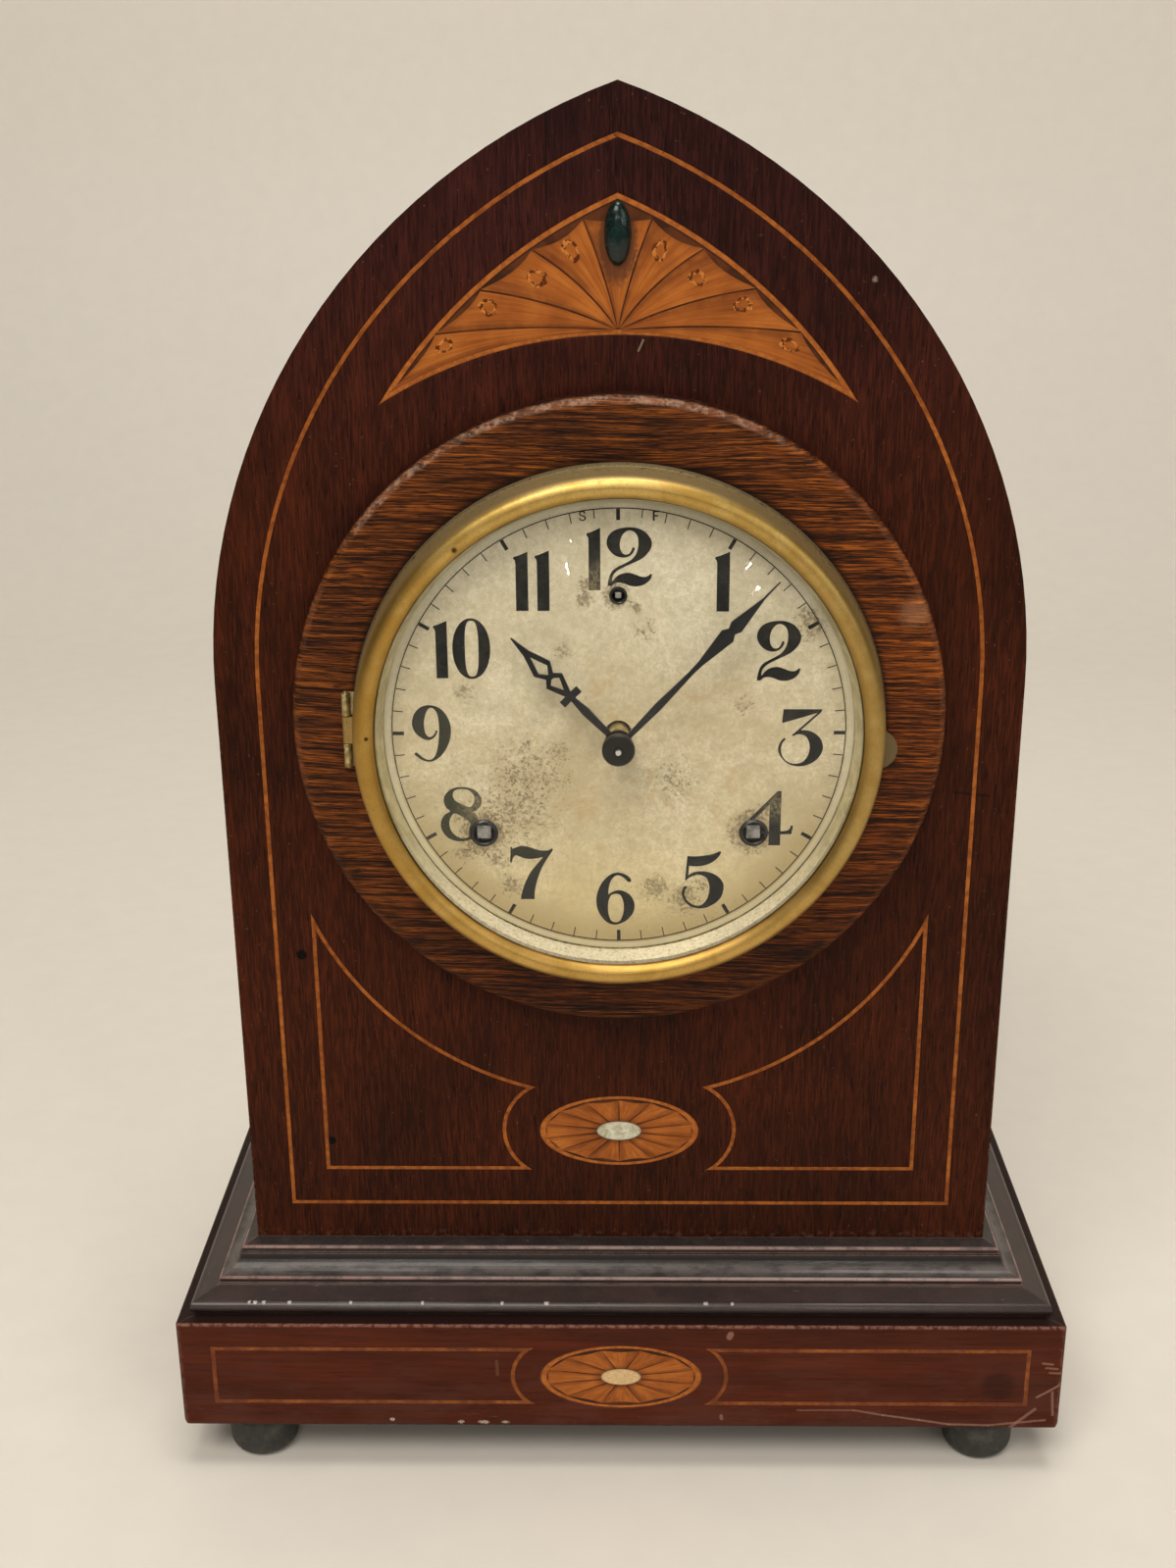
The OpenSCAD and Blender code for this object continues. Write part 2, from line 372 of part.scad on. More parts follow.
// open mainsprings: flat strip wound round each winding arbor, outer end looped on a pillar
function spiral(r0, r1, n, a0, k) = [for (i = [0:k]) let(t = i/k, r = r0 + (r1 - r0)*t, a = a0 + 360*n*t) [r*cos(a), r*sin(a)]];
sp_n = 8; sp_k = 160;
module mainspring(p, q, mir) {
  a_end = dirdeg(p, q); r1 = 26.5; ae = a_end - 30*mir;
  translate([0, 0, dial_z]) plate(-9.5, 7.5) union() {
    translate(p) polygon(concat(
      [for (i = [0:sp_k]) let(t = i/sp_k, r = 5.4 + (r1 - 5.4)*t, a = ae - mir*360*sp_n*(1 - t)) [(r + 0.3)*cos(a), (r + 0.3)*sin(a)]],
      [for (i = [sp_k:-1:0]) let(t = i/sp_k, r = 5.4 + (r1 - 5.4)*t, a = ae - mir*360*sp_n*(1 - t)) [(r - 0.3)*cos(a), (r - 0.3)*sin(a)]]));
    let(s = [p[0] + r1*cos(ae), p[1] + r1*sin(ae)], u = (q - s)/norm(q - s), v = [-u[1], u[0]], e = q - u*3.4)
      polygon([s + v*0.3 - u*0.3, e + v*0.3, e - v*0.3, s - v*0.3 - u*0.3]);
    translate(q) difference() { circle(r = 3.65, $fn = 32); circle(r = 3.05, $fn = 32); }
  }
}
module mainsprings() color("#5c6066") { mainspring(TG, pil[3], 1); mainspring(SG, pil[2], -1); }

// ---------- time train ----------
module centre_arbor() color("#b39049") {
  translate([0, 0, dial_z]) { ycyl(1.5, fp[0] - 41.5, bp[0] - 0.4, 0, 0, 32); ycyl(0.8, bp[0] - 1, bp[1], 0, 0, 24); ycyl(3.2, y3[0] - 0.5, y3[1] + 1.6, 0, 0, 32); }
  wheel(80, m_3, dirdeg(C, TT), y3[0], y3[1], C, 0, 5, 5);
  lantern(10, m_2, dirdeg(C, TS), y2t[0] - 0.4 - 0.7, y2t[1] + 0.4 + 0.7, C, 0.55);
}
module cannon_pinion() color("#b39049") translate([0, 0, dial_z]) difference() {
  union() { plate(-25.6, -23.2) polygon(gear_pts(12, 0.5, 90, 0.8, 1.15, 0.40)); ycyl(1.93, dial_y - 12.2, -23.2, 0, 0, 32); ycyl(2.6, -23.2, -22.2, 0, 0, 32); }
  ycyl(1.5, -64, -20, 0, 0, 32);
}
module minute_wheel() color("#b39049") translate([MW[0], 0, dial_z + MW[1]]) difference() {
  union() { plate(-25.0, -23.9) polygon(gear_pts(36, 0.5, 90 + 5, 0.8, 1.15, 0.40)); plate(-28.4, -24.9) polygon(gear_pts(10, 0.48, 90 + 18, 0.75, 1.1, 0.40)); }
  ycyl(1.05, -30, -20, 0, 0, 24);
}
module hour_wheel() color("#c0a050") translate([0, 0, dial_z]) difference() {
  union() { plate(-27.8, -26.7) polygon(gear_pts(40, 0.48, -90, 0.75, 1.1, 0.40)); ycyl(3.0, -60.0, -27.8, 0, 0, 40); }
  ycyl(2.0, -64, -20, 0, 0, 40);
}
hand_t = 0.8;
// hands: outline [half width, distance from the hub], mirrored; bent a little towards the dial
module hand(ang, yf, pts, hub, bore) translate([0, yf + hand_t, dial_z]) rotate([0, ang, 0]) {
  difference() {
    union() { ycyl(hub, -hand_t, 0, 0, 0, 40); rotate([-tilt, 0, 0]) translate([0, -0.05, 0]) children(); }
    ycyl(bore, -3, 3, 0, 0, 32);
  }
}
module flat(pts) rotate([90, 0, 0]) linear_extrude(hand_t) polygon(concat([for (p = pts) p], [for (i = [len(pts)-1:-1:0]) [-pts[i][0], pts[i][1]]]));
module hour_hand() color("#1d1b18") hand(hour_deg, dial_y - 9.9, [], 3.9, 3.0) difference() {
  union() {
    flat([[0.8, 3.2], [1.2, 12.6], [0.75, 17], [0.95, 19.4], [3.05, 24.7], [1.35, 26.5], [3.1, 29.4], [1.0, 35.6], [0.15, 41.4]]);
    flat([[3.2, 17.4], [3.2, 19.5]]);
  }
  translate([0, 1, 0]) { m2 = 3;
    rotate([90, 0, 0]) linear_extrude(m2) polygon([[0, 27.0], [1.75, 29.1], [0, 34.0], [-1.75, 29.1]]);
    rotate([90, 0, 0]) linear_extrude(m2) polygon([[0, 21.0], [1.65, 24.4], [0.5, 25.4], [-0.5, 25.4], [-1.65, 24.4]]);
  }
}
module minute_hand() color("#1d1b18") hand(minute_deg, dial_y - 13.0, [], 3.4, 1.5)
  flat([[0.62, 2.8], [1.08, 15.5], [0.6, 28.5], [0.75, 32.0], [2.2, 42.4], [1.12, 44.1], [1.95, 45.8], [0.24, 56.4], [0.12, 62.6]]);
module hand_nut() color("#24211d") translate([0, 0, dial_z]) {
  turned([[1.5, dial_y - 13.0], [3.2, dial_y - 13.0], [4.5, dial_y - 14.2], [4.5, dial_y - 15.9], [4.1, dial_y - 16.5], [1.5, dial_y - 16.5]], 0, 0, 48);
  color("#9a9a96") { ycyl(0.8, dial_y - 17.9, dial_y - 14.1, 0, 0, 24); ycyl(1.5, dial_y - 16.9, dial_y - 14.0, 0, 0, 24); }
}
// wheel that rides on a winding arbor, with its click and click spring
module great_wheel(p, ph, s) {
  wheel(72, m_g, ph, yg[0], yg[1], p, 3.06, 5, 15);
  translate([p[0], 0, dial_z + p[1]]) mirror([s, 0, 0]) {
    ytube(5.2, 3.06, yg[0] - 1.0, yg[0], 0, 0, 40);
    color("#6a6a66") { ycyl(1.4, yg[1], yg[1] + 2.6, 12.9, 0, 24);
      plate(yg[1] + 0.2, yg[1] + 1.8) polygon([[11.7, -1.2], [13.9, -1.2], [14.3, 1.0], [11.0, 5.3], [7.75, 5.5], [9.1, 3.7], [11.0, 1.2]]); }
    color("#8f8f8a") plate(yg[1] - 0.1, yg[1] + 1.2) polygon(concat(arcpts(0, 0, 14.2, 30, 75, 8), arcpts(0, 0, 13.7, 75, 30, 8)));
  }
}
module time_great_wheel() color("#b39049") great_wheel(TG, dirdeg(TG, TS), 0);
module strike_great_wheel() color("#b39049") great_wheel(SG, dirdeg(SG, SS), 1);
// saw-toothed ratchet wheel
function ratchet_pts(n, r, d) = [for (i = [0:n-1]) each [[r*cos(360*i/n), r*sin(360*i/n)], [(r - d)*cos(360*(i + 0.12)/n), (r - d)*sin(360*(i + 0.12)/n)]]];
module winding_arbor(p, s) translate([p[0], 0, dial_z + p[1]]) {
  color("#8f8f8a") { ycyl(3.0, -37.5, bp[1] + 1.0, 0, 0, 48); box(-2, 2, dial_y + 0.8, -37.4, -2, 2); }
  color("#8f8f8a") ycyl(4.6, -13.6, 8.5, 0, 0, 40);
  color("#b39049") mirror([s, 0, 0]) plate(yg[1] + 0.3, -13.9) polygon(ratchet_pts(18, 9.2, 1.5));
}
module time_winding_arbor() winding_arbor(TG, 0);
module strike_winding_arbor() winding_arbor(SG, 1);
module time_second_arbor() color("#b39049") { arbor(TS, 1.2); lantern(12, m_g, dirdeg(TS, TG), -19.2, -15.0, TS, 0.55); wheel(40, m_2, dirdeg(TS, C), y2t[0], y2t[1], TS, 0, 5, 4.5); }
module time_third_arbor() color("#b39049") { arbor(TT, 0.9); lantern(8, m_3, dirdeg(TT, C), y3[0] - 1.0, y3[1] + 1.0, TT, 0.3); wheel(72, m_4, dirdeg(TT, E), y4[0], y4[1], TT, 0, 4, 4); }
function esc_pts(n, r) = [for (i = [0:n-1]) let(a = 360*(i + 0.5)/n) each [[(r - 1.7)*cos(a - 2.2), (r - 1.7)*sin(a - 2.2)], [r*cos(a - 0.9), r*sin(a - 0.9)], [r*cos(a + 0.3), r*sin(a + 0.3)], [(r - 1.7)*cos(a + 1.6), (r - 1.7)*sin(a + 1.6)]]];
module escape_arbor() color("#b39049") {
  // its front pivot runs in the low cock, clear of the centre wheel
  translate([E[0], 0, dial_z + E[1]]) { ycyl(0.9, -10.7, bp[0] - 0.4, 0, 0, 24); ycyl(0.8, -12.2, bp[1], 0, 0, 24); }
  lantern(8, m_4, dirdeg(E, TT), y4[0] - 1.0, y4[1] + 1.0, E, 0.27);
  translate([E[0], 0, dial_z + E[1]]) difference() { plate(y5[0], y5[1]) polygon(esc_pts(48, 12));
    for (i = [0:3]) plate(y5[0] - 1, y5[1] + 1) polygon(sector_pts(3.2, 8.8, 45 - 20, 45 - 8, 45 + 90*i)); }
}
// verge strip with its two pallets, arbor, crutch wire and the loop round the pendulum rod
crutch_y = 32; loop_z = 4;
module verge() color("#77776f") translate([0, 0, dial_z]) {
  ycyl(0.8, fp[0], fp[1] + 0.6, V[0], V[1], 24); ycyl(1.2, fp[1] + 0.4, 25.2, V[0], V[1], 24);
  plate(y5[0], y5[1]) polygon([[0, V[1] + 2.0], [3, V[1] + 1.4], [11.4, 26.1], [9.8, 24.15], [9.1, 24.95], [9.7, 26.2], [2.2, V[1] - 1.8], [-2.2, V[1] - 1.8], [-9.7, 26.2], [-9.1, 24.95], [-9.8, 24.15], [-11.4, 26.1], [-3, V[1] + 1.4]]);
  box(-0.6, 0.6, 23.8, 25.0, loop_z + 0.3, V[1]);
  box(-0.6, 0.6, 23.8, 30.4, loop_z, loop_z + 1.2);
  translate([0, crutch_y, loop_z]) difference() { cylinder(r = 2.2, h = 1.2, $fn = 32); translate([0, 0, -1]) cylinder(r = 1.15, h = 4, $fn = 32); }
}
bob_z = dial_z - 140;               // 172.5 mm below the suspension: 144 beats a minute
module pendulum_rod() color("#8f8f8a") {
  translate([0, crutch_y, bob_z - 20]) cylinder(r = 0.8, h = dial_z + 29 - bob_z + 20, $fn = 24);
  box(-1.4, 1.4, crutch_y - 2.6, crutch_y + 2.6, dial_z + 28, dial_z + 32.2);
}
module pendulum_bob() color("#b8923f") {
  difference() {
    turned(concat([for (i = [0:10]) let(a = 90*i/10) [bob_r*sin(a), crutch_y - 1.2 - 3.6*cos(a)]], [for (i = [10:-1:0]) let(a = 90*i/10) [bob_r*sin(a), crutch_y + 1.2 + 3.6*cos(a)]]), 0, bob_z, 96);
    translate([0, crutch_y, bob_z - 30]) cylinder(r = 0.8, h = 60, $fn = 24);
  }
  translate([0, crutch_y, bob_z - bob_r - 3.4]) difference() { cylinder(r = 2.6, h = 2.4, $fn = 32); translate([0, 0, -1]) cylinder(r = 0.8, h = 5, $fn = 24); }
}
// suspension: block on the back plate and the flat spring below it
module suspension_post() { color("#b39049") { box(-4, 4, bp[1], 35, dial_z + 50, dial_z + 55.5); box(-6, 6, bp[1], bp[1] + 1.6, dial_z + 44.5, dial_z + 55.5);
    box(5.9, 8.2, bp[1], 26.6, dial_z + 41.8, dial_z + 46.2); box(3.6, 8.2, 25.6, 26.6, dial_z + 41.8, dial_z + 46.2); }
  color("#8f8f8a") box(-0.1, 0.1, crutch_y - 2, crutch_y + 2, dial_z + 32.4, dial_z + 51); }
module regulator_arbor() color("#8f8f8a") translate([RG[0], 0, dial_z + RG[1]]) {
  ycyl(1.3, -44, 26, 0, 0, 32); box(-0.85, 0.85, dial_y + 0.6, -43.9, -0.85, 0.85);
  plate(22.3, 25.6) polygon(gear_pts(9, 0.5, 0, 0.7, 1.1, 0.38));
}
rk_x = 2.25;                        // pitch line of the rack
module regulator_rack() color("#b39049") translate([0, 0, dial_z + RG[1]]) {
  plate(22.6, 25.3) polygon(concat([for (i = [-5:4]) each [for (q = [[0.55, 0.18], [-0.33, 0.36], [-0.33, 0.64], [0.55, 0.82]]) [rk_x + q[0], PI*0.5*(i + q[1])]]], [[5.6, PI*2.5 - 0.3], [5.6, -9]], [[rk_x + 0.55, -9]]));
  box(3.2, 5.6, 25.2, 35.2, -3.4, -1.0);
  difference() { box(-2.2, 3.3, 29.6, 35.2, -3.4, -1.0); box(-0.35, 0.35, 29, 34.3, -4, 0); }
}

// ---------- strike train, hammer, gong ----------
module strike_second_arbor() color("#b39049") { arbor(SS, 1.2); lantern(12, m_g, dirdeg(SS, SG), -19.2, -15.0, SS, 0.55); wheel(60, 0.6, dirdeg(SS, ST), y2s[0], y2s[1], SS, 0, 5, 4.5);
  translate([SS[0], 0, dial_z + SS[1]]) for (i = [0:7]) ycyl(0.5, y2s[1] - 0.5, y2s[1] + 1.4, 16*cos(45*i), 16*sin(45*i), 16); }
module strike_third_arbor() color("#b39049") { arbor(ST, 0.9); lantern(8, 0.6, dirdeg(ST, SS), y2s[0] - 1.0, y2s[1] + 1.0, ST, 0.36); wheel(60, 0.5, dirdeg(ST, SF), y6[0], y6[1], ST, 0, 4, 4); }
module strike_fly() color("#b39049") { arbor(SF, 0.9); lantern(8, 0.5, dirdeg(SF, ST), y6[0] - 1.0, y6[1] + 1.0, SF, 0.3);
  translate([SF[0], 0, dial_z + SF[1]]) { box(-11.5, 11.5, -13.5, -4, -0.35, 0.35); ycyl(1.6, -13.5, -4, 0, 0, 24); } }
gong = [45, 132]; gong_y = 6;       // centre of the coil gong
module hammer() color("#8f8f8a") {
  arbor(HA, 1.2);
  translate([0, gong_y, 0]) translate([HA[0], 0, gong[1] - 3]) cylinder(r = 1.0, h = dial_z + HA[1] - gong[1] + 3, $fn = 24);
  translate([0, gong_y, gong[1]]) { color("#6b4a2a") rotate([0, 90, 0]) translate([0, 0, -5]) cylinder(r = 4.6, h = 8.5, $fn = 40); color("#3a2a1c") rotate([0, 90, 0]) translate([0, 0, 3.5]) cylinder(r = 3.4, h = 1.5, $fn = 32); }
  let(t = SS + (HA - SS)*17.6/norm(HA - SS) - HA, u = t/norm(t), v = [-u[1], u[0]])
    translate([HA[0], 0, dial_z + HA[1]]) { ycyl(2.4, y2s[1] + 0.2, y2s[1] + 1.4, 0, 0, 24); plate(y2s[1] + 0.3, y2s[1] + 1.3) polygon([v*1.2, t + v*0.6, t - v*0.6, v*-1.2]); }
}
module gong_stand() color("#2e2c29") {
  box(gong[0] - 14, gong[0] + 14, -10, 20, plinth_top + 8, plinth_top + 14);
  box(gong[0] - 5, gong[0] + 5, -1.5, 4.2, plinth_top + 13.5, gong[1] + 8);
  ycyl(6.5, -1.5, 4.2, gong[0], gong[1] + 2, 40);
  color("#a98642") { ycyl(2.35, 4.0, 7.5, gong[0], gong[1] + 2, 32); ycyl(4.0, 7.4, 9.2, gong[0], gong[1] + 2, 32); }
  for (s = [-1, 1]) translate([gong[0] + s*10, 5, plinth_top + 13.8]) cylinder(r = 2.6, h = 1.2, $fn = 24);
}
module gong_coil() color("#4e4a45") translate([gong[0], 0, gong[1]]) plate(gong_y - 1.3, gong_y + 1.3) union() {
  k = 132; n = 4.5; r0 = 9; r1 = 37; a0 = 180;
  polygon(concat([for (i = [0:k]) let(t = i/k, r = r0 + (r1 - r0)*t, a = a0 - 360*n*(1 - t)) [(r + 1.1)*cos(a), (r + 1.1)*sin(a)]],
    [for (i = [k:-1:0]) let(t = i/k, r = r0 + (r1 - r0)*t, a = a0 - 360*n*(1 - t)) [(r - 1.1)*cos(a), (r - 1.1)*sin(a)]]));
  difference() { union() { translate([0, 2]) circle(r = 4.2, $fn = 32); translate([0, -1]) square([9.6, 2.2]); } translate([0, 2]) circle(r = 2.4, $fn = 32); }
}

front_panel();
side_shell_left();
side_shell_right();
back_panel();
case_floor();
corner_blocks();
dial_surround();
stringing();
fan_marquetry();
crown_cabochon();
oval_medallions();
pearl_centres();
plinth_front();
plinth_carcass();
moulding_front();
moulding_sides();
feet();
fixing_screws();
dial_pan();
dial_disc();
dial_eyelets();
hinge_pins();
door_hinge_plates();
bezel_ring();
sight_ring();
bezel_glass();
back_door();
turn_button();
front_plate();
back_plate();
pillars();
movement_posts();
mainsprings();
suspension_post();
gong_stand();
gong_coil();
centre_arbor();
cannon_pinion();
minute_hand();
hand_nut();
hour_wheel();
hour_hand();
minute_wheel();
time_great_wheel();
time_second_arbor();
time_third_arbor();
escape_arbor();
verge();
pendulum_rod();
pendulum_bob();
time_winding_arbor();
strike_winding_arbor();
strike_great_wheel();
strike_second_arbor();
strike_third_arbor();
strike_fly();
hammer();
regulator_arbor();
regulator_rack();
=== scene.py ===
"""Looks of the shelf clock: finishes, inlay, dial printing and wear, built around the fixed CAD frame."""
import math
import random

import bmesh
import bpy
from mathutils import Matrix, Vector


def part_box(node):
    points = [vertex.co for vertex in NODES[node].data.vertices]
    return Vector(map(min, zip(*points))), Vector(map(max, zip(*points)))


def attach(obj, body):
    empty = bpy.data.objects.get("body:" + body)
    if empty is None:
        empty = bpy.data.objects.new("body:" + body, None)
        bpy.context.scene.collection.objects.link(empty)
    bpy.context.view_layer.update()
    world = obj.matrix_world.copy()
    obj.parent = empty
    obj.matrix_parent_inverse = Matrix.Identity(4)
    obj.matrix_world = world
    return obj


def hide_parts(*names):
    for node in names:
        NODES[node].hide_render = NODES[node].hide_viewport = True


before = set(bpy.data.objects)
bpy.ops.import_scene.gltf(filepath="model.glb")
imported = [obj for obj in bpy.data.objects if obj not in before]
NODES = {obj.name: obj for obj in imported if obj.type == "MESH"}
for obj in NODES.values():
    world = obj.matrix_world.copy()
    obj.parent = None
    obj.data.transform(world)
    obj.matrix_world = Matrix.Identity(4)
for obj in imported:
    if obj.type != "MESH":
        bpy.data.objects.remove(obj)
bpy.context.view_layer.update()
MM = 0.001
DZ = 244.0          # height of the dial centre
FACE = -37.5        # front face of the case panel
DIAL = -49.5        # face of the dial
random.seed(7)

# ---------------------------------------------------------------- camera
PITCH, YAW, ROLL = 0.340313, -0.018267, 0.0074421
fwd = Vector((math.sin(YAW) * math.cos(PITCH), math.cos(YAW) * math.cos(PITCH), -math.sin(PITCH)))
right = Vector((math.cos(YAW), -math.sin(YAW), 0))
down = fwd.cross(right)
r2 = math.cos(ROLL) * right + math.sin(ROLL) * down
d2 = -math.sin(ROLL) * right + math.cos(ROLL) * down
cam_data = bpy.data.cameras.new("camera")
cam = bpy.data.objects.new("camera", cam_data)
bpy.context.scene.collection.objects.link(cam)
cam_data.sensor_fit = "VERTICAL"
cam_data.sensor_height = 36.0
cam_data.lens = 41.587
cam_data.clip_start, cam_data.clip_end = 0.02, 30
m = Matrix.Identity(4)
for i in range(3):
    m[i][0], m[i][1], m[i][2] = r2[i], -d2[i], -fwd[i]
m[0][3], m[1][3], m[2][3] = 0.0002, -0.5340, 0.4003
cam.matrix_world = m
bpy.context.scene.camera = cam
bpy.context.scene.view_settings.view_transform = "Standard"
bpy.context.scene.view_settings.exposure = 0.0

# ---------------------------------------------------------------- node helpers
class G:
    """Short names for building a shader graph."""

    def __init__(s, name):
        s.mat = bpy.data.materials.new(name)
        s.mat.use_nodes = True
        s.t = s.mat.node_tree
        s.t.nodes.clear()
        s.out = s.t.nodes.new("ShaderNodeOutputMaterial")
        s.tc = None

    def put(s, sock, v):
        if v is None:
            return
        if isinstance(v, bpy.types.NodeSocket):
            s.t.links.new(v, sock)
        elif isinstance(v, (tuple, list)) and sock.type == "RGBA":
            sock.default_value = tuple(v) + (1,) if len(v) == 3 else v
        else:
            sock.default_value = v

    def node(s, kind, **props):
        n = s.t.nodes.new("ShaderNode" + kind)
        for k, v in props.items():
            setattr(n, k, v)
        return n

    def pos(s):
        if s.tc is None:
            s.tc = s.node("TexCoord").outputs["Object"]
        return s.tc

    def mm(s):
        """Object position in millimetres, as X, Y, Z sockets."""
        if not hasattr(s, "_mm"):
            v = s.vmul(s.pos(), (1000, 1000, 1000))
            n = s.node("SeparateXYZ")
            s.put(n.inputs[0], v)
            s._mm = (n.outputs[0], n.outputs[1], n.outputs[2])
            s._mmv = v
        return s._mm

    def mmv(s):
        s.mm()
        return s._mmv

    def vmul(s, a, b):
        n = s.node("VectorMath", operation="MULTIPLY")
        s.put(n.inputs[0], a)
        s.put(n.inputs[1], b)
        return n.outputs[0]

    def vadd(s, a, b):
        n = s.node("VectorMath", operation="ADD")
        s.put(n.inputs[0], a)
        s.put(n.inputs[1], b)
        return n.outputs[0]

    def comb(s, x, y, z):
        n = s.node("CombineXYZ")
        for i, v in enumerate((x, y, z)):
            s.put(n.inputs[i], v)
        return n.outputs[0]

    def m(s, op, a, b=None, c=None, clamp=False):
        n = s.node("Math", operation=op, use_clamp=clamp)
        s.put(n.inputs[0], a)
        if b is not None:
            s.put(n.inputs[1], b)
        if c is not None:
            s.put(n.inputs[2], c)
        return n.outputs[0]

    def add(s, a, b): return s.m("ADD", a, b)
    def sub(s, a, b): return s.m("SUBTRACT", a, b)
    def mul(s, a, b): return s.m("MULTIPLY", a, b)
    def mx(s, a, b): return s.m("MAXIMUM", a, b)
    def mn(s, a, b): return s.m("MINIMUM", a, b)
    def abs(s, a): return s.m("ABSOLUTE", a)
    def sat(s, a): return s.m("ADD", a, 0.0, clamp=True)

    def hyp(s, a, b, c=None):
        v = s.add(s.mul(a, a), s.mul(b, b))
        if c is not None:
            v = s.add(v, s.mul(c, c))
        return s.m("SQRT", v)

    def step(s, v, lo, hi, a=0.0, b=1.0, smooth=True):
        """a below lo, b above hi, smooth between."""
        n = s.node("MapRange", interpolation_type="SMOOTHSTEP" if smooth else "LINEAR")
        s.put(n.inputs[0], v)
        for i, x in enumerate((lo, hi, a, b)):
            s.put(n.inputs[i + 1], x)
        return n.outputs[0]

    def noise(s, v, scale=1.0, detail=3.0, rough=0.55, dist=0.0, dim="3D", w=None):
        n = s.node("TexNoise", noise_dimensions=dim)
        if v is not None:
            s.put(n.inputs["Vector"], v)
        s.put(n.inputs["Scale"], scale)
        s.put(n.inputs["Detail"], detail)
        s.put(n.inputs["Roughness"], rough)
        s.put(n.inputs["Distortion"], dist)
        if w is not None:
            s.put(n.inputs["W"], w)
        return n.outputs["Fac"]

    def voro(s, v, scale=1.0, feature="F1", rand=1.0):
        n = s.node("TexVoronoi", feature=feature)
        s.put(n.inputs["Vector"], v)
        s.put(n.inputs["Scale"], scale)
        s.put(n.inputs["Randomness"], rand)
        return n

    def ramp(s, fac, stops, interp="LINEAR"):
        n = s.node("ValToRGB")
        n.color_ramp.interpolation = interp
        e = n.color_ramp.elements
        while len(e) < len(stops):
            e.new(0.5)
        for i, (p, c) in enumerate(stops):
            e[i].position = p
            e[i].color = tuple(c) + (1,) if len(c) == 3 else c
        s.put(n.inputs[0], fac)
        return n.outputs[0]

    def mix(s, fac, a, b, mode="MIX"):
        n = s.node("Mix", data_type="RGBA", blend_type=mode, clamp_factor=True)
        s.put(n.inputs[0], fac)
        s.put(n.inputs[6], a)
        s.put(n.inputs[7], b)
        return n.outputs[2]

    def mixf(s, fac, a, b):
        n = s.node("Mix", data_type="FLOAT", clamp_factor=True)
        s.put(n.inputs[0], fac)
        s.put(n.inputs[2], a)
        s.put(n.inputs[3], b)
        return n.outputs[0]

    def bump(s, height, strength=0.3, dist=0.0002, normal=None, bevel=None):
        n = s.node("Bump")
        s.put(n.inputs["Strength"], strength)
        s.put(n.inputs["Distance"], dist)
        s.put(n.inputs["Height"], height)
        if bevel:
            normal = s.bevel(bevel)
        if normal is not None:
            s.put(n.inputs["Normal"], normal)
        return n.outputs[0]

    def bevel(s, radius):
        n = s.node("Bevel", samples=4)
        s.put(n.inputs["Radius"], radius)
        return n.outputs[0]

    def edge(s, radius=0.0008, lo=0.02, hi=0.25):
        """1 near a sharp edge, from how far a bevelled normal turns from the face's own."""
        g = s.node("NewGeometry")
        n = s.node("VectorMath", operation="DOT_PRODUCT")
        s.put(n.inputs[0], s.bevel(radius))
        s.put(n.inputs[1], g.outputs["True Normal"])
        return s.step(s.sub(1.0, n.outputs["Value"]), lo, hi)

    def attr(s, name):
        n = s.node("Attribute")
        n.attribute_name = name
        return n

    def spot(s, x, z, r, soft, ux, uz, wob=None):
        """1 inside a round spot of radius r at (x, z), with a soft and wobbly rim."""
        d = s.hyp(s.sub(ux, x), s.sub(uz, z))
        if wob is not None:
            d = s.add(d, wob)
        return s.step(d, r + soft, r, 0, 1) if False else s.sub(1.0, s.step(d, r, r + soft))

    def line(s, x1, z1, x2, z2, w, soft, ux, uz, wob=None):
        """1 along a straight mark from one point to another."""
        L = math.hypot(x2 - x1, z2 - z1)
        tx, tz = (x2 - x1) / L, (z2 - z1) / L
        px, pz = s.sub(ux, x1), s.sub(uz, z1)
        a = s.m("ADD", s.mul(px, tx), s.mul(pz, tz))
        n = s.sub(s.mul(px, tz), s.mul(pz, tx))
        if wob is not None:
            n = s.add(n, wob)
        over = s.mx(s.mx(s.mul(a, -1), s.sub(a, L)), 0.0)
        d = s.hyp(n, over)
        return s.sub(1.0, s.step(d, w, w + soft))

    def shader(s, **kw):
        p = s.node("BsdfPrincipled")
        for k, v in kw.items():
            s.put(p.inputs[{"base": "Base Color", "rough": "Roughness", "metal": "Metallic", "normal": "Normal", "ior": "IOR",
                            "coat": "Coat Weight", "coat_rough": "Coat Roughness", "spec": "Specular IOR Level", "trans": "Transmission Weight",
                            "aniso": "Anisotropic", "sheen": "Sheen Weight", "sub": "Subsurface Weight", "alpha": "Alpha",
                            "coat_normal": "Coat Normal", "tangent": "Tangent", "emit": "Emission Color", "emit_s": "Emission Strength"}[k]], v)
        s.t.links.new(p.outputs[0], s.out.inputs["Surface"])
        return s.mat


def srgb(r, g, b):
    """Linear colour from 0-255 display values."""
    f = lambda c: c / 12.92 if c <= 0.04045 else ((c + 0.055) / 1.055) ** 2.4
    return tuple(f(x / 255) for x in (r, g, b))


MATS = {}

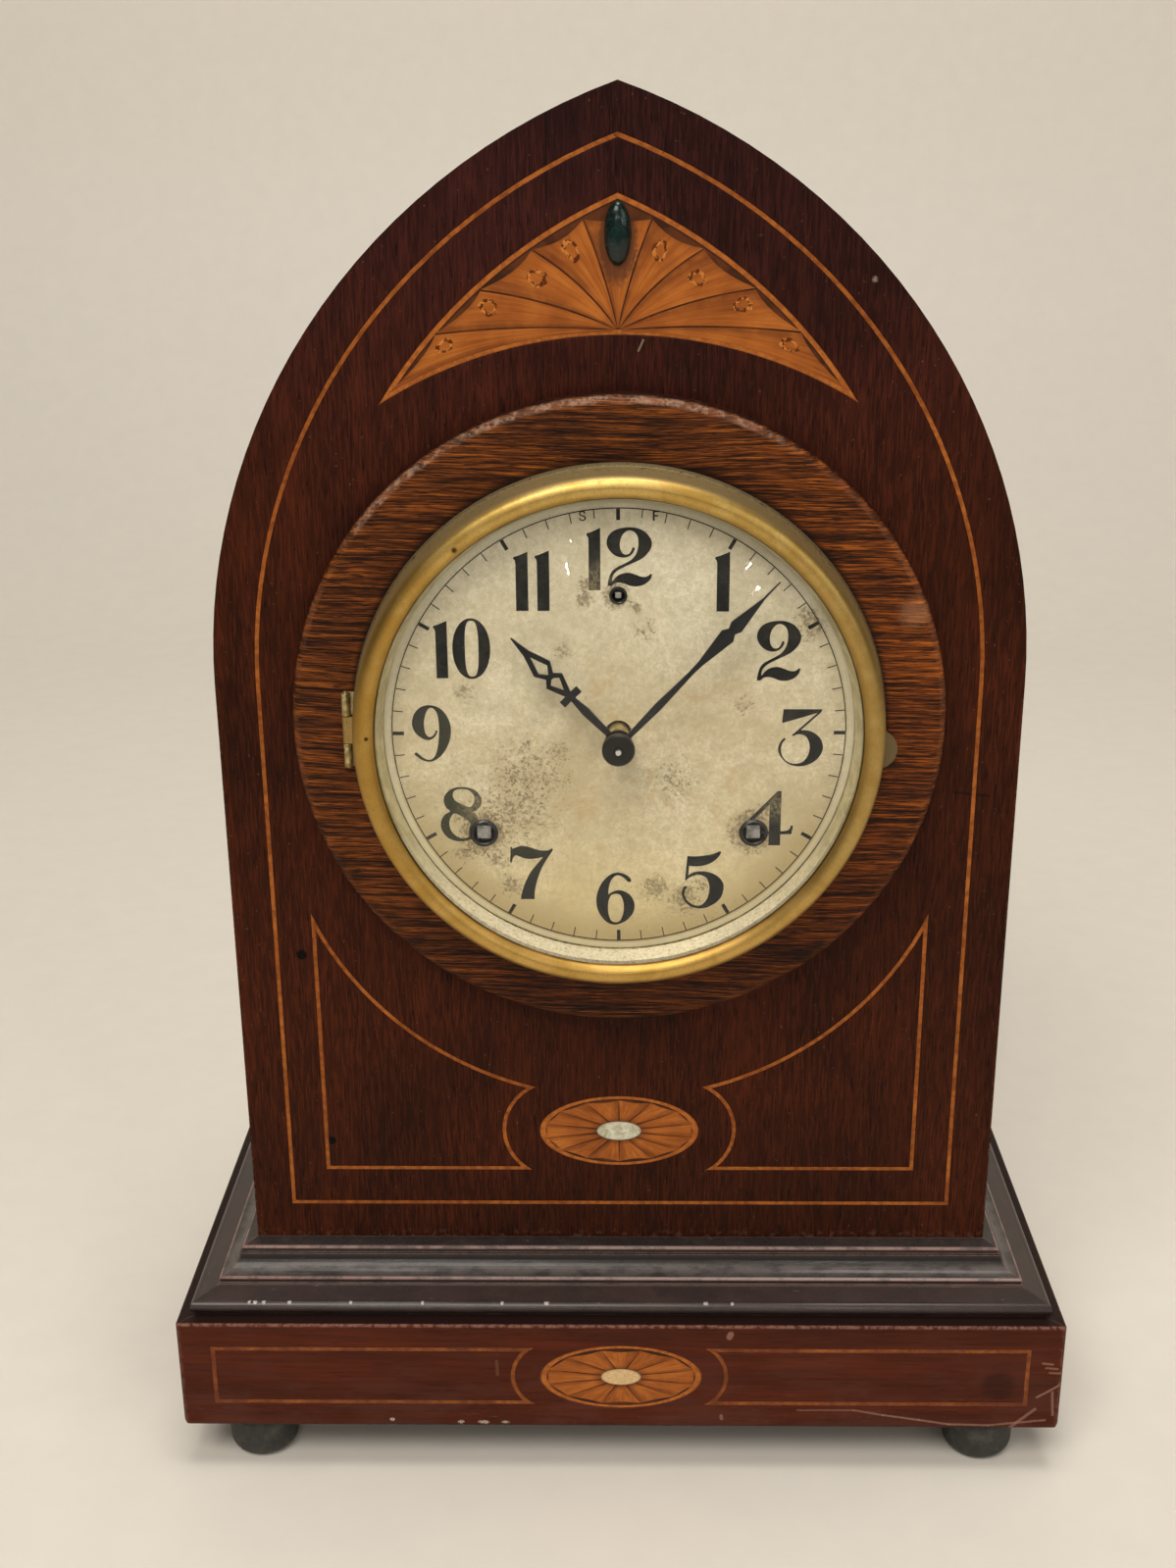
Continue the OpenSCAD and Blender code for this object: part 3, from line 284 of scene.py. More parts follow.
# ---------------------------------------------------------------- wood
def wood(name, axis, dark, mid, light, pore=0.5, grain=1.0, rough=0.42, tint=None, edge_col=None, edge_r=0.0008, coat=0.15, bump=0.25,
         pore_w=1.0, dash=1.2, fleck=0.0, lines=0.0, extra=None, seed=0.0, bevel=0.0007, spec=0.3):
    """Open-pored wood with its grain along an axis; the pores are fine dark dashes and the figure is long soft streaks."""
    g = G(name)
    st = {"x": (0.06, 1, 1), "y": (1, 0.06, 1), "z": (1, 1, 0.06)}[axis]
    base = g.vadd(g.mmv(), (seed, seed * 1.7, seed * 0.6))
    v = g.vmul(base, st)
    wide = g.noise(g.vmul(v, (0.12, 0.12, 0.12)), 1.0, 3, 0.6, 0.6)
    mid_n = g.noise(g.vmul(v, (0.55, 0.55, 0.55)), 1.0, 4, 0.65, 0.3)
    fine = g.noise(g.vmul(v, (dash if axis == "x" else 2.4 * pore_w, dash if axis == "y" else 2.4 * pore_w, dash if axis == "z" else 2.4 * pore_w)), 1.0, 2, 0.6, 0.1)
    tone = g.add(g.mul(wide, 0.5), g.mul(mid_n, 0.5))
    col = g.ramp(g.step(tone, 0.5 - 0.17 / grain, 0.5 + 0.17 / grain, smooth=False), [(0, dark), (0.5, mid), (1, light)])
    pores = g.step(fine, 0.56, 0.68)
    col = g.mix(g.mul(pores, pore), col, tuple(c * 0.35 for c in dark))
    if fleck:
        fl = g.step(g.noise(g.vmul(v, (4.5, 4.5, 4.5)), 1.0, 1, 0.5), 0.62, 0.75)
        col = g.mix(g.mul(fl, fleck), col, tuple(min(1, c * 1.9) for c in light))
    if lines:
        ln = g.step(g.noise(g.vmul(v, tuple(2.2 if ax == axis else 1.7 for ax in "xyz")), 1.0, 3, 0.6), 0.49, 0.58)
        col = g.mix(g.mul(ln, lines), col, tuple(min(1, c * 1.55) for c in light))
    r = g.add(rough, g.mul(g.sub(mid_n, 0.5), 0.3))
    r = g.add(r, g.mul(pores, 0.12))
    if tint:
        col = tint(g, col)
    if extra:
        col, r = extra(g, col, r)
    if edge_col:
        e = g.edge(edge_r)
        e = g.mul(e, g.step(g.noise(g.mmv(), 0.35, 4, 0.7), 0.38, 0.62))
        col = g.mix(e, col, edge_col)
        r = g.mixf(e, r, 0.6)
    h = g.sub(g.mul(mid_n, 0.4), pores)
    g.shader(base=col, rough=r, normal=g.bump(h, bump, 0.00012, bevel=bevel), coat=coat, coat_rough=0.35, spec=spec)
    return g.mat


# front panel: very dark red-brown mahogany, redder and purpler at the top, with its small blemishes
def panel_extra(g, col, r):
    x, y, z = g.mm()
    z = g.sub(z, DZ)
    top = g.step(z, 40, 160)
    col = g.mix(top, col, g.mix(1.0, col, (0.80, 0.90, 2.2), "MULTIPLY"))
    # broad cloudy change of tone in the old finish
    cl = g.noise(g.mmv(), 0.018, 3, 0.5, 0.5)
    col = g.mix(g.step(cl, 0.35, 0.65), g.mix(1.0, col, (0.80, 0.80, 0.82), "MULTIPLY"), g.mix(1.0, col, (1.22, 1.16, 1.14), "MULTIPLY"))
    # vertical seam of the veneer above the fan, at the left of the ridge
    seam = g.mul(g.sub(1.0, g.step(g.abs(g.sub(x, -18.6)), 0.10, 0.35)), g.step(z, 138, 142))
    strip = g.mul(g.mul(g.step(x, -19, -18.4), g.sub(1.0, g.step(x, -12, -6))), g.step(z, 139, 146))
    col = g.mix(g.mul(strip, 0.35), col, (0.006, 0.003, 0.004))
    col = g.mix(g.mul(seam, 0.8), col, (0.004, 0.002, 0.002))
    # filled nail holes
    for a, b, rr in ((-95.6, -74.1, 1.35), (-89.9, -137.9, 1.15)):
        col = g.mix(g.spot(a, b, rr, 0.35, x, z), col, (0.003, 0.0018, 0.0018))
    # small pale specks and rubs
    wob = g.mul(g.sub(g.noise(g.mmv(), 1.3, 2, 0.6), 0.5), 1.6)
    pale = g.spot(67.9, 121.7, 0.35, 0.75, x, z, wob)
    pale = g.mx(pale, g.spot(31.5, 84.5, 0.1, 0.6, x, z, wob))
    pale = g.mx(pale, g.mul(g.line(5.5, 103.6, 6.8, 106.4, 0.12, 0.25, x, z), 0.9))
    col = g.mix(g.mul(pale, 0.75), col, srgb(150, 130, 112))
    dust = g.step(g.noise(g.mmv(), 0.9, 2, 0.5), 0.71, 0.76)
    col = g.mix(g.mul(dust, 0.35), col, srgb(120, 92, 78))
    # a crack by the surround at the lower right, and a scuffed foot of the panel
    crack = g.line(97.5, -22.2, 107.5, -23.4, 0.12, 0.35, x, z, g.mul(wob, 0.3))
    crack = g.mx(crack, g.line(109.3, -20, 109.5, -28, 0.1, 0.3, x, z, g.mul(wob, 0.3)))
    col = g.mix(g.mul(crack, 0.7), col, (0.004, 0.002, 0.002))
    foot = g.mul(g.sub(1.0, g.step(z, -172.5, -169)), g.step(g.noise(g.mmv(), 0.5, 3, 0.7), 0.5, 0.68))
    col = g.mix(g.mul(foot, 0.35), col, srgb(118, 92, 80))
    ed = g.sub(1.0, g.step(g.sub(115.5, g.abs(x)), 0.15, 0.7))
    ed = g.mul(g.mul(ed, g.sub(1.0, g.step(z, 8, 14))), g.step(g.noise(g.mmv(), 0.8, 3, 0.7), 0.5, 0.6))
    ed = g.mul(ed, g.sub(1.0, g.step(y, -37.45, -37.2)))
    col = g.mix(g.mul(ed, 0.5), col, srgb(128, 84, 60))
    r = g.add(r, g.mul(g.sub(cl, 0.5), 0.25))
    return col, r


MATS["mahogany_veneer"] = wood("mahogany_veneer", "z", srgb(36, 15, 6), srgb(51, 21, 8), srgb(69, 29, 12), pore=0.95, grain=0.75, rough=0.46, pore_w=1.1, dash=2.6,
                               extra=panel_extra, coat=0.0, bump=0.30, fleck=0.10, lines=0.40, spec=0.08)


def side_extra(g, col, r):
    x, y, z = g.mm()
    cl = g.noise(g.mmv(), 0.02, 3, 0.5, 0.5)
    col = g.mix(g.step(cl, 0.35, 0.65), g.mix(1.0, col, (0.75, 0.75, 0.77), "MULTIPLY"), g.mix(1.0, col, (1.2, 1.15, 1.12), "MULTIPLY"))
    scr = g.step(g.noise(g.vmul(g.mmv(), (0.2, 0.05, 1.2)), 1.0, 2, 0.5), 0.70, 0.74)
    col = g.mix(g.mul(scr, 0.3), col, srgb(120, 84, 66))
    return col, r


MATS["mahogany_sides"] = wood("mahogany_sides", "z", srgb(40, 17, 11), srgb(56, 25, 16), srgb(76, 34, 21), pore=0.8, rough=0.40,
                              edge_col=srgb(104, 60, 44), extra=side_extra, coat=0.12, seed=31, pore_w=1.25, dash=3.0)


# chips: X, Z and half sizes in mm; scratches: from X, Z to X, Z, half width and strength
CHIPS = [(-72.0, 18.9, 1.1, 0.8), (-50.3, 18.0, 1.4, 0.8), (-43.1, 18.0, 2.4, 0.8), (-36.0, 18.0, 1.8, 0.7)]
SCRATCHES = [(34.2, 50.2, 34.6, 51.4, 0.7, 0.55), (32.1, 20.8, 32.3, 19.6, 0.3, 0.45), (-38.4, 41.0, -38.2, 36.0, 0.3, 0.15),
             (131.9, 41.0, 135.0, 40.6, 0.12, 0.5), (133.0, 39.3, 136.6, 39.0, 0.12, 0.5), (134.2, 37.5, 138.0, 37.2, 0.12, 0.5),
             (130.9, 28.3, 138.0, 33.1, 0.16, 0.55), (135.6, 30.2, 136.3, 21.6, 0.16, 0.5), (123.4, 17.0, 130.6, 23.8, 0.3, 0.45),
             (56.1, 23.0, 73.7, 23.1, 0.08, 0.35), (73.7, 23.1, 83.0, 21.3, 0.10, 0.45), (83.0, 21.3, 94.5, 19.5, 0.12, 0.55), (94.5, 19.5, 103.9, 17.9, 0.12, 0.55),
             (103.9, 17.9, 116.3, 17.6, 0.12, 0.55), (116.3, 17.6, 134.0, 19.7, 0.12, 0.5)]


def plinth_extra(g, col, r):
    x, y, z = g.mm()
    front = g.sub(1.0, g.step(y, -60.2, -59.9))
    n1 = g.noise(g.mmv(), 0.5, 4, 0.7)
    n2 = g.noise(g.mmv(), 2.2, 3, 0.7)
    wob = g.mul(g.sub(g.noise(g.mmv(), 1.1, 3, 0.7), 0.5), 2.2)
    # purple-grey bloom in the finish, stronger near the bottom
    bl = g.step(g.noise(g.vmul(g.mmv(), (0.35, 1, 1)), 0.12, 4, 0.65, 0.4), 0.42, 0.62)
    col = g.mix(g.mul(bl, g.step(z, 50, 22, 0.08, 0.30, smooth=False)), col, srgb(92, 56, 48))
    # worn pale line along the top edge, broken and rubbed
    top = g.sub(1.0, g.step(g.mx(g.sub(54.2, z), g.add(y, 60.5)), 0.45, 1.05))
    col = g.mix(g.mul(g.mul(top, g.step(n1, 0.36, 0.60)), 0.70), col, srgb(150, 106, 92))
    # painted shade: the ledge on top of the plinth, under the moulding, painted dark
    ledge_shade = g.mul(g.step(z, 54.0, 54.15), g.step(y, -60.0, -59.5))
    col = g.mix(g.mul(ledge_shade, 0.92), col, srgb(34, 23, 20))
    # bottom edge: chips to white filler
    bot = g.sub(1.0, g.step(g.sub(z, 16.2), 0.3, 1.6))
    col = g.mix(g.mul(bot, 0.55), col, (0.012, 0.006, 0.006))
    for a, b, hw, hh in CHIPS:
        d = g.hyp(g.m("DIVIDE", g.sub(x, a), hw), g.m("DIVIDE", g.sub(z, b), hh))
        sp = g.sub(1.0, g.step(g.add(d, g.mul(wob, 0.7)), 0.55, 0.95))
        sp = g.mul(sp, g.step(n2, 0.40, 0.55))
        col = g.mix(g.mul(sp, g.mul(front, 0.9)), col, srgb(205, 186, 168))
        r = g.mixf(sp, r, 0.8)
    # scuffs, scratches and the marks at the right end
    for x1, z1, x2, z2, w, s_ in SCRATCHES:
        col = g.mix(g.mul(g.line(x1, z1, x2, z2, w, 0.45, x, z, g.mul(wob, 0.25)), g.mul(front, s_)), col, srgb(166, 122, 104))
    scr = g.step(g.noise(g.vmul(g.mmv(), (0.12, 1, 1.6)), 1.0, 3, 0.7, 0.2), 0.66, 0.72)
    low = g.mul(g.step(z, 34, 22, smooth=False), front)
    col = g.mix(g.mul(g.mul(scr, low), 0.3), col, srgb(160, 120, 108))
    smudge = g.mul(g.spot(118.5, 32.5, 3.0, 4.0, x, z, wob), front)
    col = g.mix(g.mul(smudge, 0.5), col, srgb(34, 15, 13))
    # rubbed corners
    cr = g.step(g.abs(x), 136.3, 138.4)
    cr = g.mul(cr, front)
    col = g.mix(g.mul(g.mul(cr, g.step(n1, 0.42, 0.6)), 0.55), col, srgb(150, 94, 76))
    r = g.add(r, g.mul(g.sub(n1, 0.5), 0.2))
    return col, r


MATS["plinth_mahogany"] = wood("plinth_mahogany", "x", srgb(52, 21, 9), srgb(76, 31, 14), srgb(98, 41, 19), pore=0.35, grain=0.8, rough=0.42,
                               extra=plinth_extra, spec=0.10, coat=0.0, edge_col=srgb(150, 92, 74), edge_r=0.0005, bump=0.2, pore_w=0.8, dash=1.6, seed=11)


# turned surround: orange-brown with strong dark horizontal streaks, pale worn rim
def surround_mat():
    g = G("surround_rosewood")
    x, y, z = g.mm()
    zz = g.sub(z, DZ)
    rr = g.hyp(x, zz)
    base = g.mmv()
    bend = g.mul(g.noise(g.vmul(base, (0.012, 0.02, 0.02)), 1.0, 1, 0.5), 7.0)
    v = g.comb(g.mul(x, 0.020), g.mul(y, 0.4), g.add(z, g.add(bend, g.mul(x, 0.02))))
    s1 = g.noise(g.vmul(v, (1.3, 1, 0.85)), 1.0, 4, 0.70, 0.0)
    s2 = g.noise(g.vmul(v, (3.2, 1, 3.0)), 1.0, 4, 0.72, 0.0)
    s3 = g.noise(g.vmul(v, (8.0, 1, 4.6)), 1.0, 2, 0.6, 0.0)
    t = g.add(g.mul(s1, 0.45), g.mul(s2, 0.55))
    col = g.ramp(g.step(t, 0.40, 0.64, smooth=False),
                 [(0.0, srgb(30, 14, 6)), (0.28, srgb(62, 31, 13)), (0.50, srgb(112, 58, 20)), (0.75, srgb(150, 82, 29)), (1.0, srgb(182, 106, 40))])
    pores = g.step(s3, 0.53, 0.585)
    col = g.mix(g.mul(pores, 0.82), col, srgb(24, 11, 5))
    # painted light: brighter orange at the right; painted shade: darker toward the bottom
    lit_right_mask = g.step(x, 10, 92)
    col = g.mix(g.mul(lit_right_mask, 0.45), col, g.mix(1.0, col, (1.5, 1.30, 1.0), "MULTIPLY"))
    lo = g.step(zz, -5, -84)
    col = g.mix(g.mul(lo, 0.8), col, g.mix(1.0, col, (0.50, 0.46, 0.46), "MULTIPLY"))
    cl = g.noise(base, 0.045, 3, 0.6, 0.5)
    col = g.mix(g.step(cl, 0.35, 0.65, 0.0, 0.5), col, g.mix(1.0, col, (0.72, 0.70, 0.70), "MULTIPLY"))
    # old finish gone along the rim, a paler worn band, made stronger toward the top as painted light
    n1 = g.noise(base, 0.35, 4, 0.7)
    rim = g.mul(g.step(rr, 90.3, 91.3), g.sub(1.0, g.step(rr, 92.2, 92.9)))
    rim_wear_and_light = g.mul(rim, g.step(zz, -30, 40, 0.35, 1.0, smooth=False))
    col = g.mix(g.mul(rim_wear_and_light, g.step(g.noise(base, 0.08, 3, 0.6), 0.40, 0.62, 0.05, 0.40)), col, srgb(128, 80, 54))
    side = g.step(rr, 92.2, 93.0)
    col = g.mix(g.mul(side, 0.85), col, srgb(34, 15, 13))
    a = g.m("ARCTAN2", zz, x)
    # painted highlight: a pale glint along the polished rim over the top
    rim_highlight_mask = g.mul(rim, g.mul(g.step(a, 0.95, 1.25), g.sub(1.0, g.step(a, 2.35, 2.6))))
    col = g.mix(g.mul(rim_highlight_mask, g.step(g.noise(base, 0.35, 5, 0.75), 0.44, 0.60, 0.05, 0.48)), col, srgb(196, 160, 134))
    # painted shadow: the wood darkened next to the bezel
    bezel_shadow_ring = g.sub(1.0, g.step(rr, 75.4, 77.2))
    col = g.mix(g.mul(bezel_shadow_ring, 0.7), col, srgb(24, 11, 7))
    rub = g.mul(g.spot(82.0, 33.0, 1.0, 5.0, x, zz, g.mul(g.sub(n1, 0.5), 5)), 0.25)
    col = g.mix(rub, col, srgb(205, 150, 110))
    r = g.add(0.36, g.mul(s2, 0.22))
    h = g.sub(g.mul(s2, 0.5), pores)
    g.shader(base=col, rough=r, normal=g.bump(h, 0.35, 0.00012), coat=0.0, spec=0.12)
    return g.mat


MATS["surround_rosewood"] = surround_mat()

MATS["carcass_wood"] = wood("carcass_wood", "z", srgb(92, 66, 42), srgb(126, 94, 62), srgb(156, 122, 84), pore=0.35, rough=0.72, coat=0.0,
                            grain=0.8, bump=0.35, seed=55, spec=0.3)


def stain_extra(g, col, r):
    n1 = g.noise(g.mmv(), 0.03, 4, 0.6, 0.6)
    col = g.mix(g.step(n1, 0.38, 0.66, 0.0, 0.55), col, srgb(58, 36, 22))
    return col, r


MATS["back_board"] = wood("back_board", "z", srgb(66, 42, 26), srgb(92, 62, 38), srgb(118, 84, 54), pore=0.5, rough=0.66, coat=0.05,
                          grain=0.9, bump=0.35, seed=71, extra=stain_extra, edge_col=srgb(140, 104, 70), spec=0.3)


# stringing and marquetry woods
def stringing_mat():
    g = G("satinwood_line")
    base = g.mmv()
    x, y, z = g.mm()
    n = g.noise(base, 0.5, 3, 0.6)
    n2 = g.noise(base, 0.06, 2, 0.5)
    col = g.mix(g.step(n, 0.35, 0.65), srgb(138, 74, 26), srgb(172, 98, 38))
    px, py, pz = g.mm()
    worn = g.mul(g.sub(1.0, g.step(pz, 53, 56)), g.step(g.noise(g.mmv(), 0.12, 4, 0.7), 0.36, 0.60, 0.25, 0.75))
    col = g.mix(worn, col, srgb(108, 54, 30))
    col = g.mix(g.step(n2, 0.4, 0.6), col, g.mix(1.0, col, (0.8, 0.74, 0.7), "MULTIPLY"))
    gap = g.step(g.noise(base, 1.1, 2, 0.6), 0.66, 0.72)
    col = g.mix(g.mul(gap, 0.7), col, srgb(70, 34, 20))
    # worn away at the lower right corner of the base
    wc = g.mul(g.step(x, 120, 127), g.sub(1.0, g.step(z, 27.5, 31)))
    col = g.mix(g.mul(g.mul(wc, g.step(n, 0.4, 0.55)), 0.8), col, srgb(84, 40, 32))
    g.shader(base=col, rough=g.add(0.38, g.mul(n, 0.2)), normal=g.bump(n, 0.15, 0.0001), coat=0.0, spec=0.15)
    return g.mat


MATS["satinwood_line"] = stringing_mat()


def marquetry_base():
    """Fan and medallion bodies: a thin light border strip around a dark ground that shows only in the joints and scallops."""
    g = G("marquetry")
    x, y, z = g.mm()
    zz = g.sub(z, DZ)
    base = g.mmv()
    ax = g.abs(x)
    d_top = g.sub(141.1, g.hyp(g.add(ax, 53.9), g.sub(zz, 13.6)))
    d_bot = g.sub(g.hyp(ax, g.add(zz, 17.0)), 124.8)
    d_fan = g.mn(d_top, d_bot)
    e1 = g.hyp(g.m("DIVIDE", x, 24.8), g.m("DIVIDE", g.add(zz, 134.3), 12.2))
    e2 = g.hyp(g.m("DIVIDE", g.sub(x, 0.5), 25.3), g.m("DIVIDE", g.add(zz, 208.7), 11.6))
    d_o = g.mul(g.sub(1.0, g.mn(e1, e2)), 14.0)
    fan = g.step(zz, 20, 21)
    d = g.mixf(fan, d_o, d_fan)
    wid = g.mixf(fan, 1.0, 1.25)
    border = g.sub(1.0, g.step(g.sub(d, wid), 0.0, 0.25))
    n = g.noise(base, 0.6, 4, 0.65)
    n2 = g.noise(base, 0.12, 3, 0.6, 0.5)
    ground = g.mix(g.step(n2, 0.36, 0.62), srgb(58, 28, 12), srgb(92, 48, 20))
    ground = g.mix(g.step(g.abs(g.sub(g.sub(d, wid), 0.35)), 0.0, 0.35), srgb(52, 24, 12), ground)
    light = g.mix(g.step(n, 0.35, 0.65), srgb(152, 82, 30), srgb(184, 106, 42))
    col = g.mix(border, ground, light)
    rim = g.sub(1.0, g.step(d, 0.05, 0.3))
    col = g.mix(g.mul(rim, 0.6), col, srgb(60, 26, 16))
    g.shader(base=col, rough=g.add(0.36, g.mul(n, 0.2)), normal=g.bump(n, 0.15, 0.0001), coat=0.0, spec=0.15)
    return g.mat


MATS["marquetry"] = marquetry_base()


def marquetry_ray():
    """One ray of a fan: u runs out from the focus, v across. Sand-shaded darker along one long side and at the narrow end."""
    g = G("marquetry_ray")
    a = g.attr("ray").outputs["Vector"]
    n = g.node("SeparateXYZ")
    g.put(n.inputs[0], a)
    u, v, k = n.outputs
    base = g.mmv()
    x, y, z = g.mm()
    zz = g.sub(z, DZ)
    gr = g.noise(g.comb(g.mul(u, 2.0), g.mul(v, 9.0), g.mul(k, 17.0)), 1.0, 4, 0.65, 0.3)
    fleck = g.noise(base, 0.9, 3, 0.65)
    wide = g.noise(base, 0.10, 2, 0.5)
    tone = g.add(g.mul(gr, 0.55), g.mul(wide, 0.45))
    col = g.ramp(g.step(tone, 0.32, 0.68, smooth=False), [(0, srgb(128, 66, 20)), (0.5, srgb(168, 92, 32)), (1, srgb(198, 118, 46))])
    col = g.mix(g.mul(g.step(g.noise(g.vmul(base, (1, 1, 2.2)), 1.4, 2, 0.6), 0.58, 0.7), 0.25), col, srgb(128, 66, 28))
    # each ray a little different
    kk = g.m("FRACT", g.mul(k, 7.31))
    col = g.mix(g.mul(kk, 0.28), col, g.mix(1.0, col, (0.74, 0.70, 0.64), "MULTIPLY"))
    # scorched shading on the lower long side
    side = g.sub(1.0, g.step(v, 0.02, 0.42))
    side = g.mul(side, g.step(g.noise(base, 0.25, 3, 0.6), 0.3, 0.6, 0.5, 1.0))
    col = g.mix(g.mul(side, 0.60), col, srgb(92, 42, 14))
    root = g.sub(1.0, g.step(u, 0.0, 0.22))
    col = g.mix(g.mul(root, 0.50), col, srgb(88, 40, 16))
    tip = g.step(u, 0.94, 1.0)
    col = g.mix(g.mul(tip, 0.25), col, srgb(112, 58, 26))
    # stain around the green stone
    cd = g.hyp(g.m("DIVIDE", x, 5.8), g.m("DIVIDE", g.sub(zz, 131.6), 12.0))
    st = g.mul(g.sub(1.0, g.step(g.add(cd, g.mul(g.sub(fleck, 0.5), 0.5)), 0.75, 1.0)), g.step(zz, 20, 21))
    col = g.mix(g.mul(st, 0.75), col, srgb(84, 48, 30))
    h = g.add(g.mul(gr, 0.5), g.mul(fleck, 0.5))
    g.shader(base=col, rough=g.add(0.34, g.mul(fleck, 0.22)), normal=g.bump(h, 0.18, 0.0001), coat=0.0, spec=0.18)
    return g.mat


MATS["marquetry_ray"] = marquetry_ray()


def mark_mat():
    """Little rubbed stamps near the wide end of each ray."""
    g = G("marquetry_mark")
    base = g.mmv()
    a = g.attr("ray").outputs["Vector"]
    n = g.node("SeparateXYZ")
    g.put(n.inputs[0], a)
    u, v, k = n.outputs
    n1 = g.noise(base, 0.62, 4, 0.7, 0.6)
    col = g.mix(g.step(n1, 0.46, 0.56), srgb(92, 44, 16), srgb(204, 128, 60))
    dark = g.mul(g.step(g.noise(g.vadd(base, (9, 3, 5)), 1.3, 3, 0.7), 0.56, 0.64), 0.5)
    col = g.mix(dark, col, srgb(72, 38, 22))
    g.shader(base=col, rough=0.55, normal=g.bump(n1, 0.10, 0.0001), spec=0.06)
    return g.mat


MATS["marquetry_mark"] = mark_mat()


def cabochon_mat():
    g = G("green_cabochon")
    base = g.mmv()
    x, y, z = g.mm()
    zz = g.sub(z, DZ)
    n = g.noise(base, 0.35, 4, 0.65, 1.0)
    n2 = g.noise(base, 1.5, 3, 0.7)
    col = g.ramp(g.step(n, 0.32, 0.68, smooth=False), [(0, srgb(7, 17, 15)), (0.55, srgb(14, 34, 31)), (1, srgb(28, 58, 52))])
    # painted shade: the lower part of the stone darker
    lo = g.step(zz, 134, 127)
    col = g.mix(g.mul(lo, 0.5), col, srgb(8, 14, 12))
    sp = g.step(n2, 0.66, 0.72)
    col = g.mix(g.mul(sp, 0.4), col, srgb(120, 134, 120))
    g.shader(base=col, rough=g.add(0.16, g.mul(n2, 0.14)), coat=0.25, coat_rough=0.08, spec=0.25, normal=g.bump(n2, 0.06, 0.0001), ior=1.52)
    return g.mat


MATS["green_cabochon"] = cabochon_mat()


def pearl_mat():
    g = G("pearl")
    base = g.mmv()
    x, y, z = g.mm()
    n = g.noise(base, 0.35, 3, 0.6, 1.2)
    n2 = g.noise(g.vmul(base, (0.6, 1, 1.4)), 1.6, 3, 0.65, 0.8)
    up = g.step(z, 90, 100)
    shell = g.ramp(g.step(g.add(g.mul(n, 0.7), g.mul(n2, 0.3)), 0.34, 0.66, smooth=False),
                   [(0, srgb(172, 164, 132)), (0.4, srgb(204, 196, 162)), (0.7, srgb(224, 217, 190)), (1, srgb(240, 236, 220))])
    bone = g.ramp(g.step(n2, 0.32, 0.68, smooth=False), [(0, srgb(204, 158, 98)), (0.6, srgb(228, 186, 128)), (1, srgb(240, 208, 158))])
    col = g.mix(up, bone, shell)
    for cx, cz, ca, cb in ((0.0, DZ - 134.3, 6.9, 3.3), (0.5, DZ - 208.7, 6.3, 3.0)):
        d = g.hyp(g.m("DIVIDE", g.sub(x, cx), ca), g.m("DIVIDE", g.sub(z, cz), cb))
        ring = g.mul(g.step(d, 0.86, 0.98), g.sub(1.0, g.step(d, 1.05, 1.1)))
        col = g.mix(g.mul(ring, 0.45), col, srgb(110, 74, 42))
    g.shader(base=col, rough=g.add(0.16, g.mul(n, 0.14)), coat=0.5, coat_rough=0.1, normal=g.bump(n2, 0.1, 0.0001), sub=0.1)
    return g.mat


MATS["pearl"] = pearl_mat()


